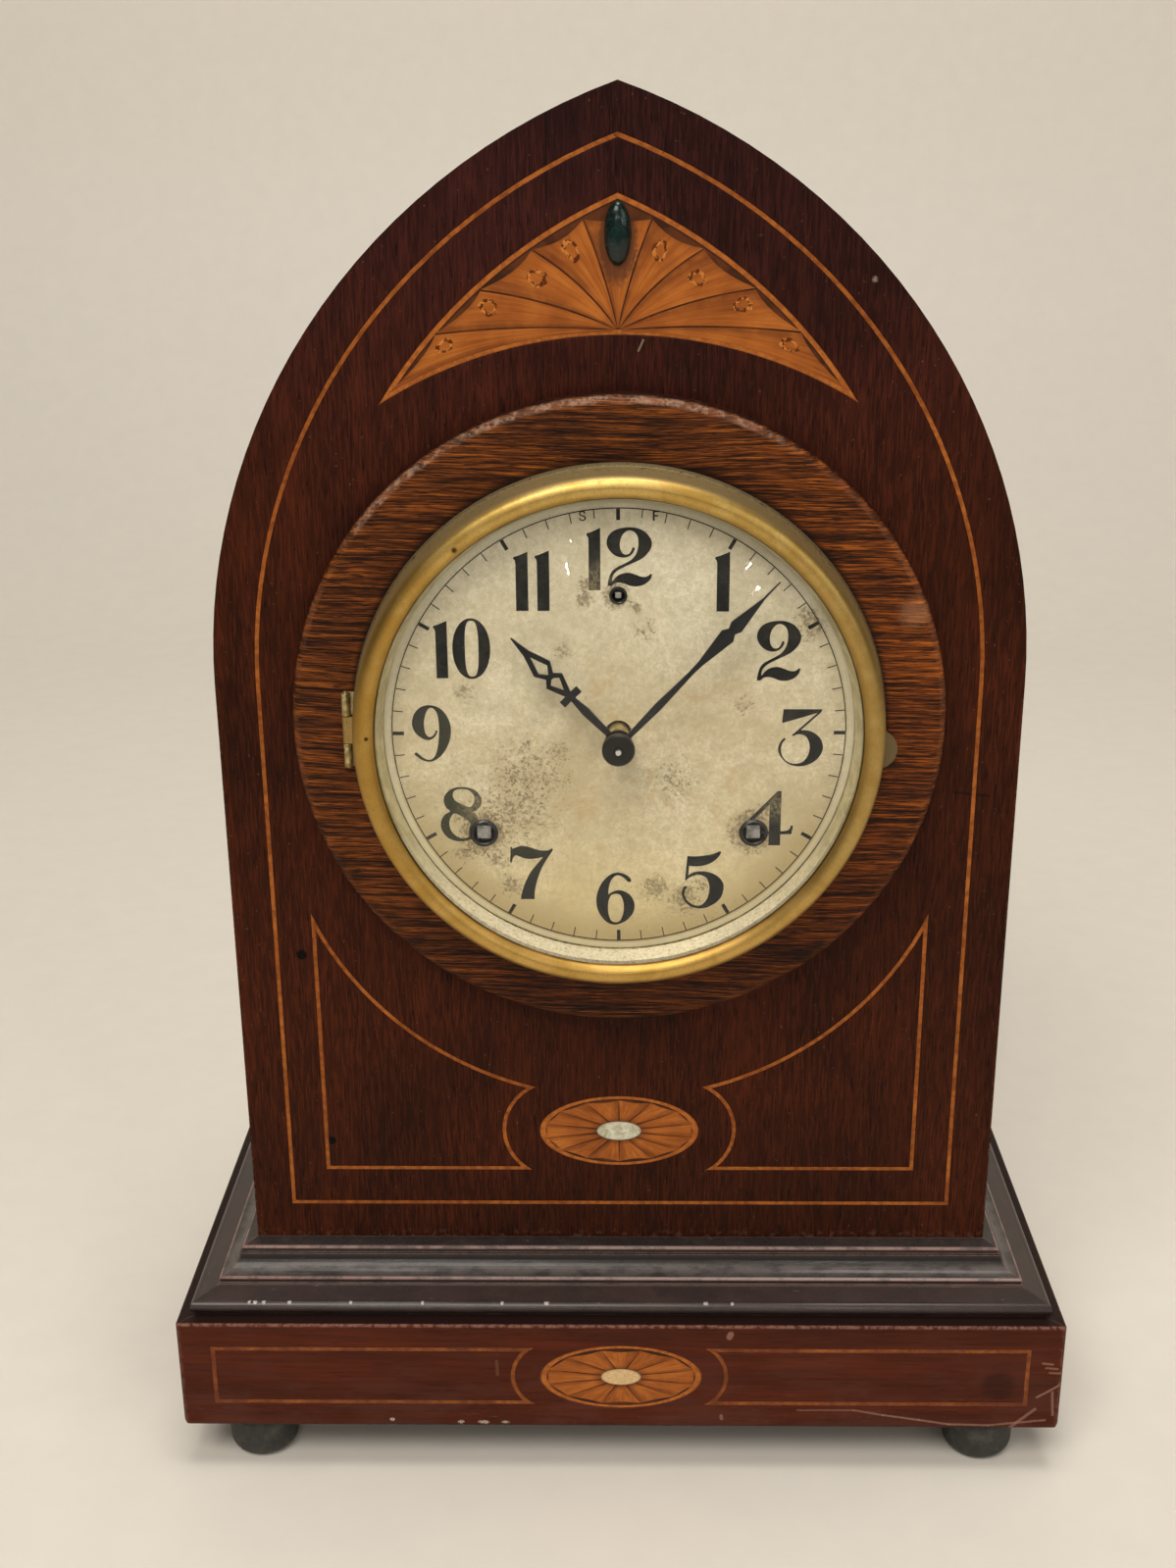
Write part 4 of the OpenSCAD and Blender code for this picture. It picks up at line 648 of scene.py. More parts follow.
# ebonised mouldings: nearly black, dusty grey bloom, worn arrises
def ebon_mat():
    g = G("ebonised_wood")
    base = g.mmv()
    x, y, z = g.mm()
    h = g.sub(z, 54.2)
    n1 = g.noise(g.vmul(base, (0.25, 0.25, 1)), 0.5, 4, 0.65)
    n2 = g.noise(base, 2.0, 3, 0.7)
    n3 = g.noise(base, 0.05, 3, 0.6, 0.4)
    col = g.ramp(g.step(n1, 0.3, 0.7, smooth=False), [(0, srgb(18, 13, 12)), (0.5, srgb(32, 24, 22)), (1, srgb(54, 43, 39))])
    # dusty grey in patches, also on top of the bead; the cove is painted light below and dark above as painted
    # reflection and shade
    dust = g.mul(g.step(n2, 0.30, 0.70), 0.35)
    col = g.mix(dust, col, srgb(82, 70, 66))
    # painted reflection: the lower hollow of the cove painted light grey
    cove_painted_reflection = g.mul(g.step(h, 8.9, 9.3), g.sub(1.0, g.step(h, 10.2, 11.8)))
    col = g.mix(g.mul(cove_painted_reflection, g.step(n1, 0.36, 0.60, 0.15, 0.45)), col, srgb(122, 114, 110))
    # painted shade: the upper part of the cove painted near black
    cove_painted_shade = g.mul(g.step(h, 11.4, 12.6), g.sub(1.0, g.step(h, 15.0, 15.3)))
    col = g.mix(g.mul(cove_painted_shade, 0.7), col, srgb(14, 10, 10))
    # rubbed through to a purplish brown on the bead
    bead = g.mul(g.step(h, 1.0, 2.6), g.sub(1.0, g.step(h, 6.0, 8.4)))
    col = g.mix(g.mul(bead, g.step(n3, 0.36, 0.6, 0.20, 0.60)), col, srgb(66, 47, 43))
    # small nicks to the white ground on the bead, mostly at the left
    nk = 0.0
    wn = g.mul(g.sub(n2, 0.5), 1.2)
    for nx_, hw in ((-115.8, 0.5), (-114.0, 0.7), (-111.2, 0.5), (-103.2, 0.6), (-84.0, 0.4), (-61.5, 0.4), (-36.6, 0.4), (-22.7, 0.9), (27.0, 0.8), (35.2, 0.5)):
        nk = g.mx(nk, g.sub(1.0, g.step(g.add(g.abs(g.sub(x, nx_)), wn), hw * 0.6, hw * 0.6 + 0.3)))
    nk = g.mul(nk, g.mul(g.step(g.add(h, wn), 4.2, 4.6), g.step(g.add(y, wn), -54.6, -55.2)))
    col = g.mix(g.mul(nk, 0.85), col, srgb(206, 196, 190))
    # pinkish arrises where the black is gone
    e = g.edge(0.0006, 0.03, 0.20)
    e = g.mul(e, g.step(g.noise(base, 0.4, 4, 0.7), 0.30, 0.55, 0.25, 1.0))
    e = g.mul(e, g.step(h, 6.2, 6.6))
    col = g.mix(g.mul(e, 0.9), col, srgb(150, 108, 96))
    rub = g.noise(base, 0.16, 5, 0.7)
    for h0, h1, amt in ((15.35, 16.0, 0.85), (8.35, 8.95, 0.75), (7.0, 7.3, 0.35)):
        ln = g.mul(g.step(h, h0 - 0.12, h0 + 0.05), g.sub(1.0, g.step(h, h1 - 0.05, h1 + 0.12)))
        col = g.mix(g.mul(ln, g.step(rub, 0.38, 0.56, 0.30 * amt, amt)), col, srgb(158, 122, 112))
    # scratches
    sc = g.step(g.noise(g.vmul(base, (0.25, 0.5, 2.2)), 1.0, 3, 0.7, 0.3), 0.69, 0.73)
    col = g.mix(g.mul(sc, 0.3), col, srgb(150, 136, 130))
    r = g.add(0.34, g.mul(n2, 0.28))
    g.shader(base=col, rough=r, normal=g.bump(n2, 0.16, 0.00012, bevel=0.0005), coat=0.45, coat_rough=0.20, spec=0.25)
    return g.mat


MATS["ebonised_wood"] = ebon_mat()


def foot_mat():
    g = G("foot_wood")
    base = g.mmv()
    n = g.noise(base, 0.25, 4, 0.65)
    n2 = g.noise(base, 2.0, 2, 0.6)
    col = g.ramp(g.step(n, 0.3, 0.7, smooth=False), [(0, srgb(26, 26, 22)), (0.6, srgb(44, 44, 38)), (1, srgb(66, 64, 55))])
    col = g.mix(g.mul(g.step(n2, 0.62, 0.7), 0.4), col, srgb(100, 92, 78))
    g.shader(base=col, rough=g.add(0.5, g.mul(n2, 0.2)), normal=g.bump(n2, 0.25, 0.00015), coat=0.05)
    return g.mat


MATS["foot_wood"] = foot_mat()


# ---------------------------------------------------------------- metals
def metal(name, dark, light, rough=0.3, var=0.15, tarnish=None, t_amt=0.3, t_scale=0.4, scratch=0.15, metallic=1.0, bevel=0.0003, bump=0.08, turned=None, seed=0.0):
    g = G(name)
    base = g.vadd(g.mmv(), (seed, seed, seed)) if seed else g.mmv()
    n1 = g.noise(base, 0.18, 4, 0.6, 0.4)
    n2 = g.noise(base, 2.2, 4, 0.7)
    n3 = g.noise(base, t_scale, 4, 0.7, 0.3)
    col = g.mix(g.step(n1, 0.32, 0.68), dark, light)
    spots = g.step(n3, 0.55, 0.70)
    if tarnish:
        col = g.mix(g.mul(spots, t_amt), col, tarnish)
    sc = g.step(g.noise(g.vmul(base, (2.2, 0.7, 0.35)), 1.0, 3, 0.7, 0.4), 0.66, 0.72)
    r = g.add(rough - var * 0.5, g.mul(n2, var))
    r = g.add(r, g.mul(spots, 0.18 if tarnish else 0.05))
    r = g.add(r, g.mul(sc, scratch))
    h = n2
    if turned:
        x, y, z = g.mm()
        rad = g.hyp(g.sub(x, turned[0]), g.sub(z, turned[1]))
        h = g.add(h, g.mul(g.noise(g.comb(g.mul(rad, 4.0), 0.0, 0.0), 1.0, 2, 0.6), 1.5))
    g.shader(base=col, rough=r, metal=metallic, normal=g.bump(h, bump, 0.0001, bevel=bevel))
    return g.mat


def bezel_mat():
    """Gilt rolled brass: clean and bright on the roll, dull khaki on the outer slope, flaked at its outer edge."""
    g = G("aged_brass")
    base = g.mmv()
    x, y, z = g.mm()
    zz = g.sub(z, DZ)
    rr = g.hyp(x, zz)
    ang = g.m("ARCTAN2", zz, x)
    n1 = g.noise(base, 0.10, 4, 0.6, 0.4)
    n2 = g.noise(base, 2.4, 4, 0.7)
    n3 = g.noise(base, 0.55, 4, 0.7, 0.3)
    col = g.mix(g.step(n1, 0.34, 0.66), srgb(186, 150, 76), srgb(208, 176, 104))
    col = g.mix(g.step(x, -30, -72, 0.0, 0.55), col, srgb(168, 124, 50))
    # outer slope below the roll: greyed lacquer
    slope = g.step(rr, 72.6, 73.9)
    topw = g.step(zz, -10, 60, 0.35, 1.0, smooth=False)
    col = g.mix(g.mul(slope, g.mul(topw, 0.75)), col, srgb(168, 156, 118))
    # inner slope: browner gold
    inn = g.sub(1.0, g.step(rr, 68.3, 69.6))
    col = g.mix(g.mul(inn, 0.35), col, srgb(168, 130, 62))
    col = g.mix(g.mul(g.step(n2, 0.44, 0.62), 0.30), col, srgb(150, 116, 54))
    col = g.mix(g.step(x, 22, 70, 0.0, 0.40), col, srgb(146, 120, 74))
    # painted shade: the inner edge of the bezel behind the roll painted dark
    bezel_inner_shade = g.sub(1.0, g.step(rr, 67.7, 68.0))
    col = g.mix(g.mul(bezel_inner_shade, 0.80), col, srgb(42, 34, 18))
    # tarnish clouds
    t = g.step(n3, 0.54, 0.70)
    col = g.mix(g.mul(t, 0.30), col, srgb(158, 128, 70))
    # painted highlight: warmer, brighter gold toward the bottom of the bezel
    low = g.step(zz, -25, -70)
    col = g.mix(g.mul(low, g.step(n1, 0.4, 0.6, 0.1, 0.30)), col, srgb(206, 150, 72))
    # flaked outer edge
    ed = g.step(g.add(rr, g.mul(g.sub(g.noise(base, 0.9, 4, 0.75), 0.5), 1.6)), 74.55, 74.9)
    ed = g.mul(ed, g.step(x, -75.25, -75.05))
    col = g.mix(g.mul(ed, 0.7), col, srgb(74, 66, 50))
    fl = g.mul(g.step(rr, 73.6, 74.4), g.step(g.noise(base, 0.7, 3, 0.7), 0.60, 0.66))
    col = g.mix(g.mul(fl, 0.8), col, srgb(50, 42, 34))
    dark = g.mx(g.spot(-43.6, 54.4, 0.35, 0.8, x, zz, g.mul(g.sub(n2, 0.5), 1.0)), g.spot(-69.6, 1.6, 0.3, 0.5, x, zz))
    dark = g.mx(dark, g.spot(-41.8, 52.5, 0.2, 0.7, x, zz, g.mul(g.sub(n2, 0.5), 1.0)))
    sp = g.step(g.noise(base, 1.1, 3, 0.7), 0.70, 0.75)
    dark = g.mx(dark, g.mul(sp, 0.5))
    col = g.mix(g.mul(dark, 0.85), col, srgb(46, 30, 16))
    rough = g.add(0.36, g.mul(n2, 0.12))
    rough = g.add(rough, g.mul(slope, 0.16))
    rough = g.add(rough, g.mul(t, 0.06))
    rough = g.add(rough, g.mul(dark, 0.3))
    met = g.sub(1.0, g.mul(g.mx(ed, g.mul(slope, 0.25)), 0.5))
    g.shader(base=col, rough=rough, metal=met, normal=g.bump(n2, 0.10, 0.0001))
    return g.mat


MATS["aged_brass"] = bezel_mat()


def sight_mat():
    """Inner ring under the glass: pale brass, at the bottom painted bright silver as a painted reflection, mottled with
    dark specks.
    """
    g = G("pale_brass")
    base = g.mmv()
    x, y, z = g.mm()
    zz = g.sub(z, DZ)
    n1 = g.noise(base, 0.2, 4, 0.6, 0.4)
    n2 = g.noise(base, 1.2, 4, 0.75, 0.3)
    col = g.mix(g.step(n1, 0.34, 0.66), srgb(186, 176, 136), srgb(214, 204, 168))
    # painted reflection: the bottom of the ring painted bright silver, with dark specks
    lo = g.step(zz, -20, -60)
    bottom_reflection_mottle = g.ramp(g.step(n2, 0.30, 0.58, smooth=False), [(0, srgb(104, 94, 66)), (0.30, srgb(214, 205, 172)), (1, srgb(246, 240, 220))])
    col = g.mix(g.mul(lo, 0.85), col, bottom_reflection_mottle)
    g.shader(base=col, rough=g.add(0.24, g.mul(n2, 0.16)), metal=0.6, normal=g.bump(n2, 0.05, 0.0001))
    return g.mat


MATS["pale_brass"] = sight_mat()
MATS["movement_brass"] = metal("movement_brass", srgb(160, 130, 74), srgb(194, 166, 108), rough=0.36, tarnish=srgb(116, 90, 54), t_amt=0.28, t_scale=0.12, seed=5)
MATS["dark_brass"] = metal("dark_brass", srgb(44, 38, 24), srgb(92, 78, 46), rough=0.42, tarnish=srgb(30, 26, 20), t_amt=0.6, seed=9)
MATS["steel"] = metal("steel", srgb(150, 148, 142), srgb(196, 194, 188), rough=0.3, tarnish=srgb(104, 86, 68), t_amt=0.3, t_scale=0.5, seed=3)
MATS["spring_steel"] = metal("spring_steel", srgb(52, 56, 66), srgb(92, 98, 110), rough=0.32, tarnish=srgb(84, 66, 54), t_amt=0.35, t_scale=0.3, seed=13)
MATS["black_steel"] = metal("black_steel", srgb(11, 11, 12), srgb(22, 21, 20), rough=0.34, tarnish=srgb(46, 38, 31), t_amt=0.25, t_scale=0.6, metallic=0.25, seed=17)
MATS["eyelet_black"] = metal("eyelet_black", srgb(10, 9, 8), srgb(19, 17, 14), rough=0.40, tarnish=srgb(48, 40, 28), t_amt=0.25, t_scale=0.9, metallic=0.1, seed=41)
MATS["gong_iron"] = metal("gong_iron", srgb(44, 40, 38), srgb(74, 68, 64), rough=0.5, tarnish=srgb(90, 60, 42), t_amt=0.4, t_scale=0.3, seed=21)
MATS["pendulum_brass"] = metal("pendulum_brass", srgb(176, 136, 62), srgb(212, 176, 100), rough=0.26, tarnish=srgb(120, 88, 44), t_amt=0.35, t_scale=0.2, turned=(0.0, DZ - 140), seed=25)


def winding_mat():
    """Steel arbors: a bright square that shows through the dial, and behind it the arbor painted near black as painted
    shade inside the winding hole.
    """
    g = G("winding_steel")
    base = g.mmv()
    x, y, z = g.mm()
    n1 = g.noise(base, 0.5, 4, 0.6)
    n2 = g.noise(base, 2.0, 3, 0.7)
    col = g.mix(g.step(n1, 0.35, 0.65), srgb(104, 103, 100), srgb(160, 158, 154))
    # painted shade: outside the square and behind the dial the arbor is painted near black
    off = g.mx(g.abs(g.sub(g.abs(x), 38.5)), g.abs(g.add(g.sub(z, DZ), 30.0)))
    back = g.mul(g.step(off, 2.0, 2.1), g.sub(1.0, g.step(y, -26.0, -25.0)))
    col = g.mix(g.mul(back, 0.93), col, srgb(16, 15, 13))
    g.shader(base=col, rough=g.add(0.30, g.mul(n2, 0.18)), metal=0.85, normal=g.bump(n2, 0.08, 0.0001, bevel=0.0002))
    return g.mat


MATS["winding_steel"] = winding_mat()


def nut_mat():
    """Round nut and the end of the arbor: black steel turned in rings, with the bright pivot in its middle."""
    g = G("turned_nut")
    base = g.mmv()
    x, y, z = g.mm()
    rad = g.hyp(x, g.sub(z, DZ))
    n = g.noise(base, 2.0, 3, 0.7)
    rings = g.noise(g.comb(g.mul(rad, 5.0), 0.0, 0.0), 1.0, 1, 0.5)
    col = g.mix(g.step(rings, 0.40, 0.60), srgb(12, 11, 10), srgb(38, 35, 30))
    pin = g.sub(1.0, g.step(rad, 0.72, 0.82))
    col = g.mix(pin, col, g.mix(g.step(n, 0.4, 0.6), srgb(150, 148, 142), srgb(214, 212, 204)))
    dark = g.mul(g.step(rad, 0.78, 0.9), g.sub(1.0, g.step(rad, 1.4, 1.6)))
    col = g.mix(g.mul(dark, 0.8), col, srgb(12, 11, 10))
    g.shader(base=col, rough=g.add(0.30, g.mul(n, 0.16)), metal=0.5, spec=0.3, normal=g.bump(g.add(rings, g.mul(n, 0.4)), 0.25, 0.00012))
    return g.mat


MATS["turned_nut"] = nut_mat()


def rust_mat():
    g = G("hinge_brass")
    base = g.mmv()
    n1 = g.noise(base, 0.6, 4, 0.65, 0.4)
    n2 = g.noise(base, 2.4, 3, 0.7)
    col = g.mix(g.step(n1, 0.36, 0.64), srgb(150, 130, 84), srgb(206, 190, 140))
    g.shader(base=col, rough=g.add(0.3, g.mul(n2, 0.2)), metal=0.9, normal=g.bump(n2, 0.1, 0.0001, bevel=0.0002))
    return g.mat


MATS["hinge_brass"] = rust_mat()


# silvered dial: aged cream silver with foxing
def dial_mat():
    g = G("silvered_dial")
    base = g.mmv()
    x, y, z = g.mm()
    zz = g.sub(z, DZ)
    rr = g.hyp(x, zz)
    n_big = g.noise(base, 0.035, 4, 0.6, 0.6)
    n_mid = g.noise(base, 0.16, 5, 0.65, 0.5)
    n_fine = g.noise(base, 1.3, 4, 0.72, 0.2)
    n_spk = g.noise(base, 3.2, 2, 0.6)
    col = g.ramp(g.step(n_big, 0.34, 0.66, smooth=False), [(0, srgb(172, 158, 124)), (0.5, srgb(190, 177, 145)), (1, srgb(206, 196, 168))])
    col = g.mix(g.step(n_mid, 0.42, 0.60, 0.0, 0.40), col, srgb(166, 154, 124))
    grain = g.step(g.noise(base, 0.95, 5, 0.82), 0.42, 0.60)
    col = g.mix(g.mul(grain, 0.50), col, srgb(158, 144, 110))
    # warmer below, greyer and silverier above
    col = g.mix(g.step(zz, -10, 50, 0.0, 0.35), col, srgb(204, 200, 182))
    col = g.mix(g.step(zz, -15, -62, 0.0, 0.55), col, srgb(196, 176, 122))
    # painted shadow of the bezel: darker near the rim at the bottom
    bezel_shadow_low = g.mul(g.step(rr, 50, 64), g.step(zz, 0, -50))
    col = g.mix(g.mul(bezel_shadow_low, 0.8), col, srgb(142, 122, 78))
    # light tan blotches at the middle right and below the centre
    tan = g.mul(g.step(g.noise(g.vadd(base, (40, 0, 9)), 0.10, 4, 0.65, 0.8), 0.50, 0.66), g.sub(1.0, g.step(g.hyp(g.sub(x, 8), g.add(zz, 6)), 22, 40)))
    col = g.mix(g.mul(tan, 0.50), col, srgb(168, 138, 96))
    # broad speckle, denser at the lower left
    dens = g.sub(1.0, g.step(g.hyp(g.add(x, 34), g.add(zz, 24)), 10, 42))
    spk = g.step(n_fine, g.sub(0.64, g.mul(dens, 0.10)), g.sub(0.70, g.mul(dens, 0.08)))
    col = g.mix(g.mul(spk, g.add(0.16, g.mul(dens, 0.34))), col, srgb(108, 97, 68))
    tiny = g.step(n_spk, 0.60, 0.68)
    col = g.mix(g.mul(tiny, 0.34), col, srgb(104, 92, 66))
    # foxing
    wob = g.mul(g.sub(n_fine, 0.5), 5.0)
    wob2 = g.mul(g.sub(n_mid, 0.5), 5.0)
    w = g.add(wob, wob2)
    crumb = g.noise(base, 1.1, 5, 0.80)
    halo = g.noise(base, 0.5, 4, 0.7)
    fox = [(-38.5, -30.0, 4.2, 5.0, 1.3), (-43.0, -24.5, 0.6, 6.0, 0.9), (-9.5, 38.6, 0.4, 3.4, 1.25), (-0.5, 39.2, 2.0, 3.0, 1.2), (4.6, 36.2, 0.4, 2.4, 0.9), (-9.0, 42.5, 0.5, 2.8, 1.25),
           (38.0, -29.5, 4.2, 4.4, 1.2), (42.0, -24.0, 0.5, 5.0, 0.9), (10.5, -47.0, 0.4, 6.0, 1.05), (18.5, -50.5, 0.6, 7.0, 1.0), (24.0, -46.0, 0.3, 4.0, 0.9), (-31.0, -46.0, 0.4, 5.0, 1.1),
           (-35.0, -37.0, 0.3, 6.0, 0.9), (-44.5, -36.5, 0.3, 4.0, 1.0), (-15.0, 24.0, 0.3, 4.0, 0.8), (53.0, 31.5, 2.0, 5.0, 0.95), (-25.0, -12.0, 1.0, 15.0, 0.75), (-30.0, -24.0, 1.0, 16.0, 0.80),
           (-17.0, -6.0, 0.3, 5.0, 0.9), (-25.5, -3.2, 0.3, 1.6, 1.3), (-43.0, 12.0, 0.4, 4.5, 0.8), (34.5, 8.0, 0.3, 4.5, 0.7), (16.0, -14.0, 0.4, 10.0, 0.65), (8.0, 30.0, 0.4, 6.0, 0.6)]
    for a, b, r0, s0, amt in fox:
        sp = g.spot(a, b, r0, s0, x, zz)
        m_ = g.step(g.add(crumb, g.mul(sp, 0.145 * amt)), 0.585, 0.655)
        col = g.mix(g.mul(sp, 0.20 * min(1.0, amt)), col, srgb(150, 130, 92))
        col = g.mix(g.mul(m_, g.step(sp, 0.0, 0.25, 0.0, 0.72)), col, srgb(76, 62, 38))
    col = g.mix(g.mul(g.step(crumb, 0.60, 0.66), 0.40), col, srgb(112, 98, 66))
    col = g.mix(g.step(halo, 0.42, 0.62, 0.0, 0.40), col, srgb(160, 146, 114))
    # fine dark flecks inside the fox marks at the bottom
    fl = g.mul(g.step(g.noise(base, 2.0, 4, 0.75), 0.56, 0.62), g.mul(g.step(zz, -40, -46), g.sub(1.0, g.step(g.abs(g.sub(x, 15)), 12, 22))))
    col = g.mix(g.mul(fl, 0.55), col, srgb(96, 78, 50))
    # grey-green band left of centre
    band = g.sub(1.0, g.step(g.hyp(g.m("DIVIDE", g.add(x, 30), 22.0), g.m("DIVIDE", g.sub(zz, 16), 16.0)), 0.5, 1.2))
    col = g.mix(g.mul(band, g.step(n_mid, 0.42, 0.62, 0.05, 0.30)), col, srgb(166, 160, 134))
    # soft shadowy rubs
    for x1, z1, x2, z2, w_, a_ in ((-16.5, 20.0, -22.0, 4.0, 1.2, 0.16), (28.0, -4.0, 44.0, -14.0, 1.0, 0.10)):
        col = g.mix(g.mul(g.line(x1, z1, x2, z2, w_, 3.0, x, zz, g.mul(w, 0.3)), a_), col, srgb(120, 108, 84))
    # the cream band outside the minute track, greyed
    out = g.step(rr, 63.9, 64.4)
    col = g.mix(g.mul(out, 0.5), col, srgb(196, 188, 160))
    r = g.add(0.34, g.mul(n_mid, 0.22))
    g.shader(base=col, rough=r, metal=0.10, spec=0.35, normal=g.bump(n_fine, 0.08, 0.0001))
    return g.mat


MATS["silvered_dial"] = dial_mat()


def print_mat():
    """Black printing of the dial, thinned by age and greenish at the lower left."""
    g = G("dial_print")
    base = g.mmv()
    x, y, z = g.mm()
    zz = g.sub(z, DZ)
    n = g.noise(base, 1.1, 4, 0.7)
    n2 = g.noise(base, 0.25, 4, 0.65)
    col = g.mix(g.step(n2, 0.38, 0.66), srgb(20, 19, 17), srgb(38, 36, 31))
    col = g.mix(g.mul(g.step(n, 0.62, 0.72), 0.40), col, srgb(104, 96, 74))
    gr = g.sub(1.0, g.step(g.hyp(g.add(x, 44), g.add(zz, 20)), 12, 40))
    col = g.mix(g.mul(gr, 0.35), col, srgb(72, 72, 50))
    fade = g.mx(g.spot(-6.0, 44.0, 1.5, 5.0, x, zz), g.spot(-40.0, -22.0, 2.0, 6.0, x, zz))
    fade = g.mx(fade, g.spot(45.0, -22.0, 1.0, 5.0, x, zz))
    col = g.mix(g.mul(fade, g.step(n, 0.40, 0.62, 0.1, 0.75)), col, srgb(118, 108, 82))
    g.shader(base=col, rough=0.5, spec=0.2, normal=g.bump(n, 0.06, 0.0001))
    return g.mat


MATS["dial_print"] = print_mat()


def glass_mat():
    g = G("clear_glass")
    n = g.noise(g.mmv(), 0.05, 3, 0.5)
    g.shader(base=(0.985, 0.99, 0.98), rough=0.008, trans=1.0, ior=1.2, normal=g.bump(n, 0.03, 0.0005))
    return g.mat


MATS["clear_glass"] = glass_mat()

# ---------------------------------------------------------------- CAD nodes
NODE_MAT = {
    "front_panel": "mahogany_veneer", "side_shell_left": "mahogany_sides", "side_shell_right": "mahogany_sides",
    "back_panel": "back_board", "case_floor": "carcass_wood", "corner_blocks": "carcass_wood", "dial_surround": "surround_rosewood",
    "stringing": "satinwood_line", "fan_marquetry": "marquetry", "crown_cabochon": "green_cabochon", "oval_medallions": "marquetry",
    "pearl_centres": "pearl", "plinth_front": "plinth_mahogany", "plinth_carcass": "plinth_mahogany", "moulding_front": "ebonised_wood",
    "moulding_sides": "ebonised_wood", "feet": "foot_wood", "fixing_screws": "steel", "dial_pan": "hinge_brass", "dial_disc": "silvered_dial",
    "dial_eyelets": "eyelet_black", "hinge_pins": "hinge_brass", "door_hinge_plates": "hinge_brass", "bezel_ring": "aged_brass",
    "sight_ring": "pale_brass", "bezel_glass": "clear_glass", "back_door": "back_board", "turn_button": "hinge_brass",
    "front_plate": "movement_brass", "back_plate": "movement_brass", "pillars": "movement_brass", "movement_posts": "movement_brass",
    "mainsprings": "spring_steel", "suspension_post": "movement_brass", "gong_stand": "gong_iron", "gong_coil": "spring_steel",
    "centre_arbor": "movement_brass", "cannon_pinion": "dark_brass", "minute_hand": "black_steel", "hand_nut": "turned_nut",
    "hour_wheel": "hinge_brass", "hour_hand": "black_steel", "minute_wheel": "movement_brass", "time_great_wheel": "movement_brass",
    "time_second_arbor": "movement_brass", "time_third_arbor": "movement_brass", "escape_arbor": "movement_brass", "verge": "steel",
    "pendulum_rod": "steel", "pendulum_bob": "pendulum_brass", "time_winding_arbor": "winding_steel", "strike_winding_arbor": "winding_steel",
    "strike_great_wheel": "movement_brass", "strike_second_arbor": "movement_brass", "strike_third_arbor": "movement_brass",
    "strike_fly": "movement_brass", "hammer": "gong_iron", "regulator_arbor": "steel", "regulator_rack": "movement_brass",
}
for name, ob in NODES.items():
    mat = MATS[NODE_MAT[name]]
    if len(ob.material_slots) == 0:
        ob.data.materials.append(mat)
    for sl in ob.material_slots:
        sl.material = mat

NODES["bezel_glass"].visible_shadow = False

# ---------------------------------------------------------------- mesh helpers
COLL = bpy.context.scene.collection


def finish_mesh(name, bm, mat, body, smooth=False):
    bmesh.ops.recalc_face_normals(bm, faces=bm.faces)
    me = bpy.data.meshes.new(name)
    bm.to_mesh(me)
    bm.free()
    if smooth:
        for p in me.polygons:
            p.use_smooth = True
    ob = bpy.data.objects.new(name, me)
    COLL.objects.link(ob)
    me.materials.append(MATS[mat])
    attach(ob, body)
    return ob


def flat_shapes(name, loops, y_front, y_back, mat, body):
    """Closed thin solid from closed outlines in X and Z (mm from the dial centre); a loop inside another is a hole."""
    cu = bpy.data.curves.new(name, "CURVE")
    cu.dimensions = "2D"
    cu.fill_mode = "BOTH"
    for lp in loops:
        sp = cu.splines.new("POLY")
        sp.points.add(len(lp) - 1)
        for i, (x, z) in enumerate(lp):
            sp.points[i].co = (x * MM, z * MM, 0, 1)
        sp.use_cyclic_u = True
    half = abs(y_front - y_back) / 2 * MM
    cu.extrude = half
    tmp = bpy.data.objects.new(name + "_c", cu)
    COLL.objects.link(tmp)
    bpy.context.view_layer.update()
    dg = bpy.context.evaluated_depsgraph_get()
    me0 = bpy.data.meshes.new_from_object(tmp.evaluated_get(dg), depsgraph=dg)
    bpy.data.objects.remove(tmp)
    bm = bmesh.new()
    bm.from_mesh(me0)
    mid = (y_front + y_back) / 2 * MM
    for v in bm.verts:
        x, z, d = v.co.x, v.co.y, v.co.z
        v.co = Vector((x, mid - d, z + DZ * MM))
    bmesh.ops.remove_doubles(bm, verts=bm.verts, dist=1e-6)
    return finish_mesh(name, bm, mat, body)


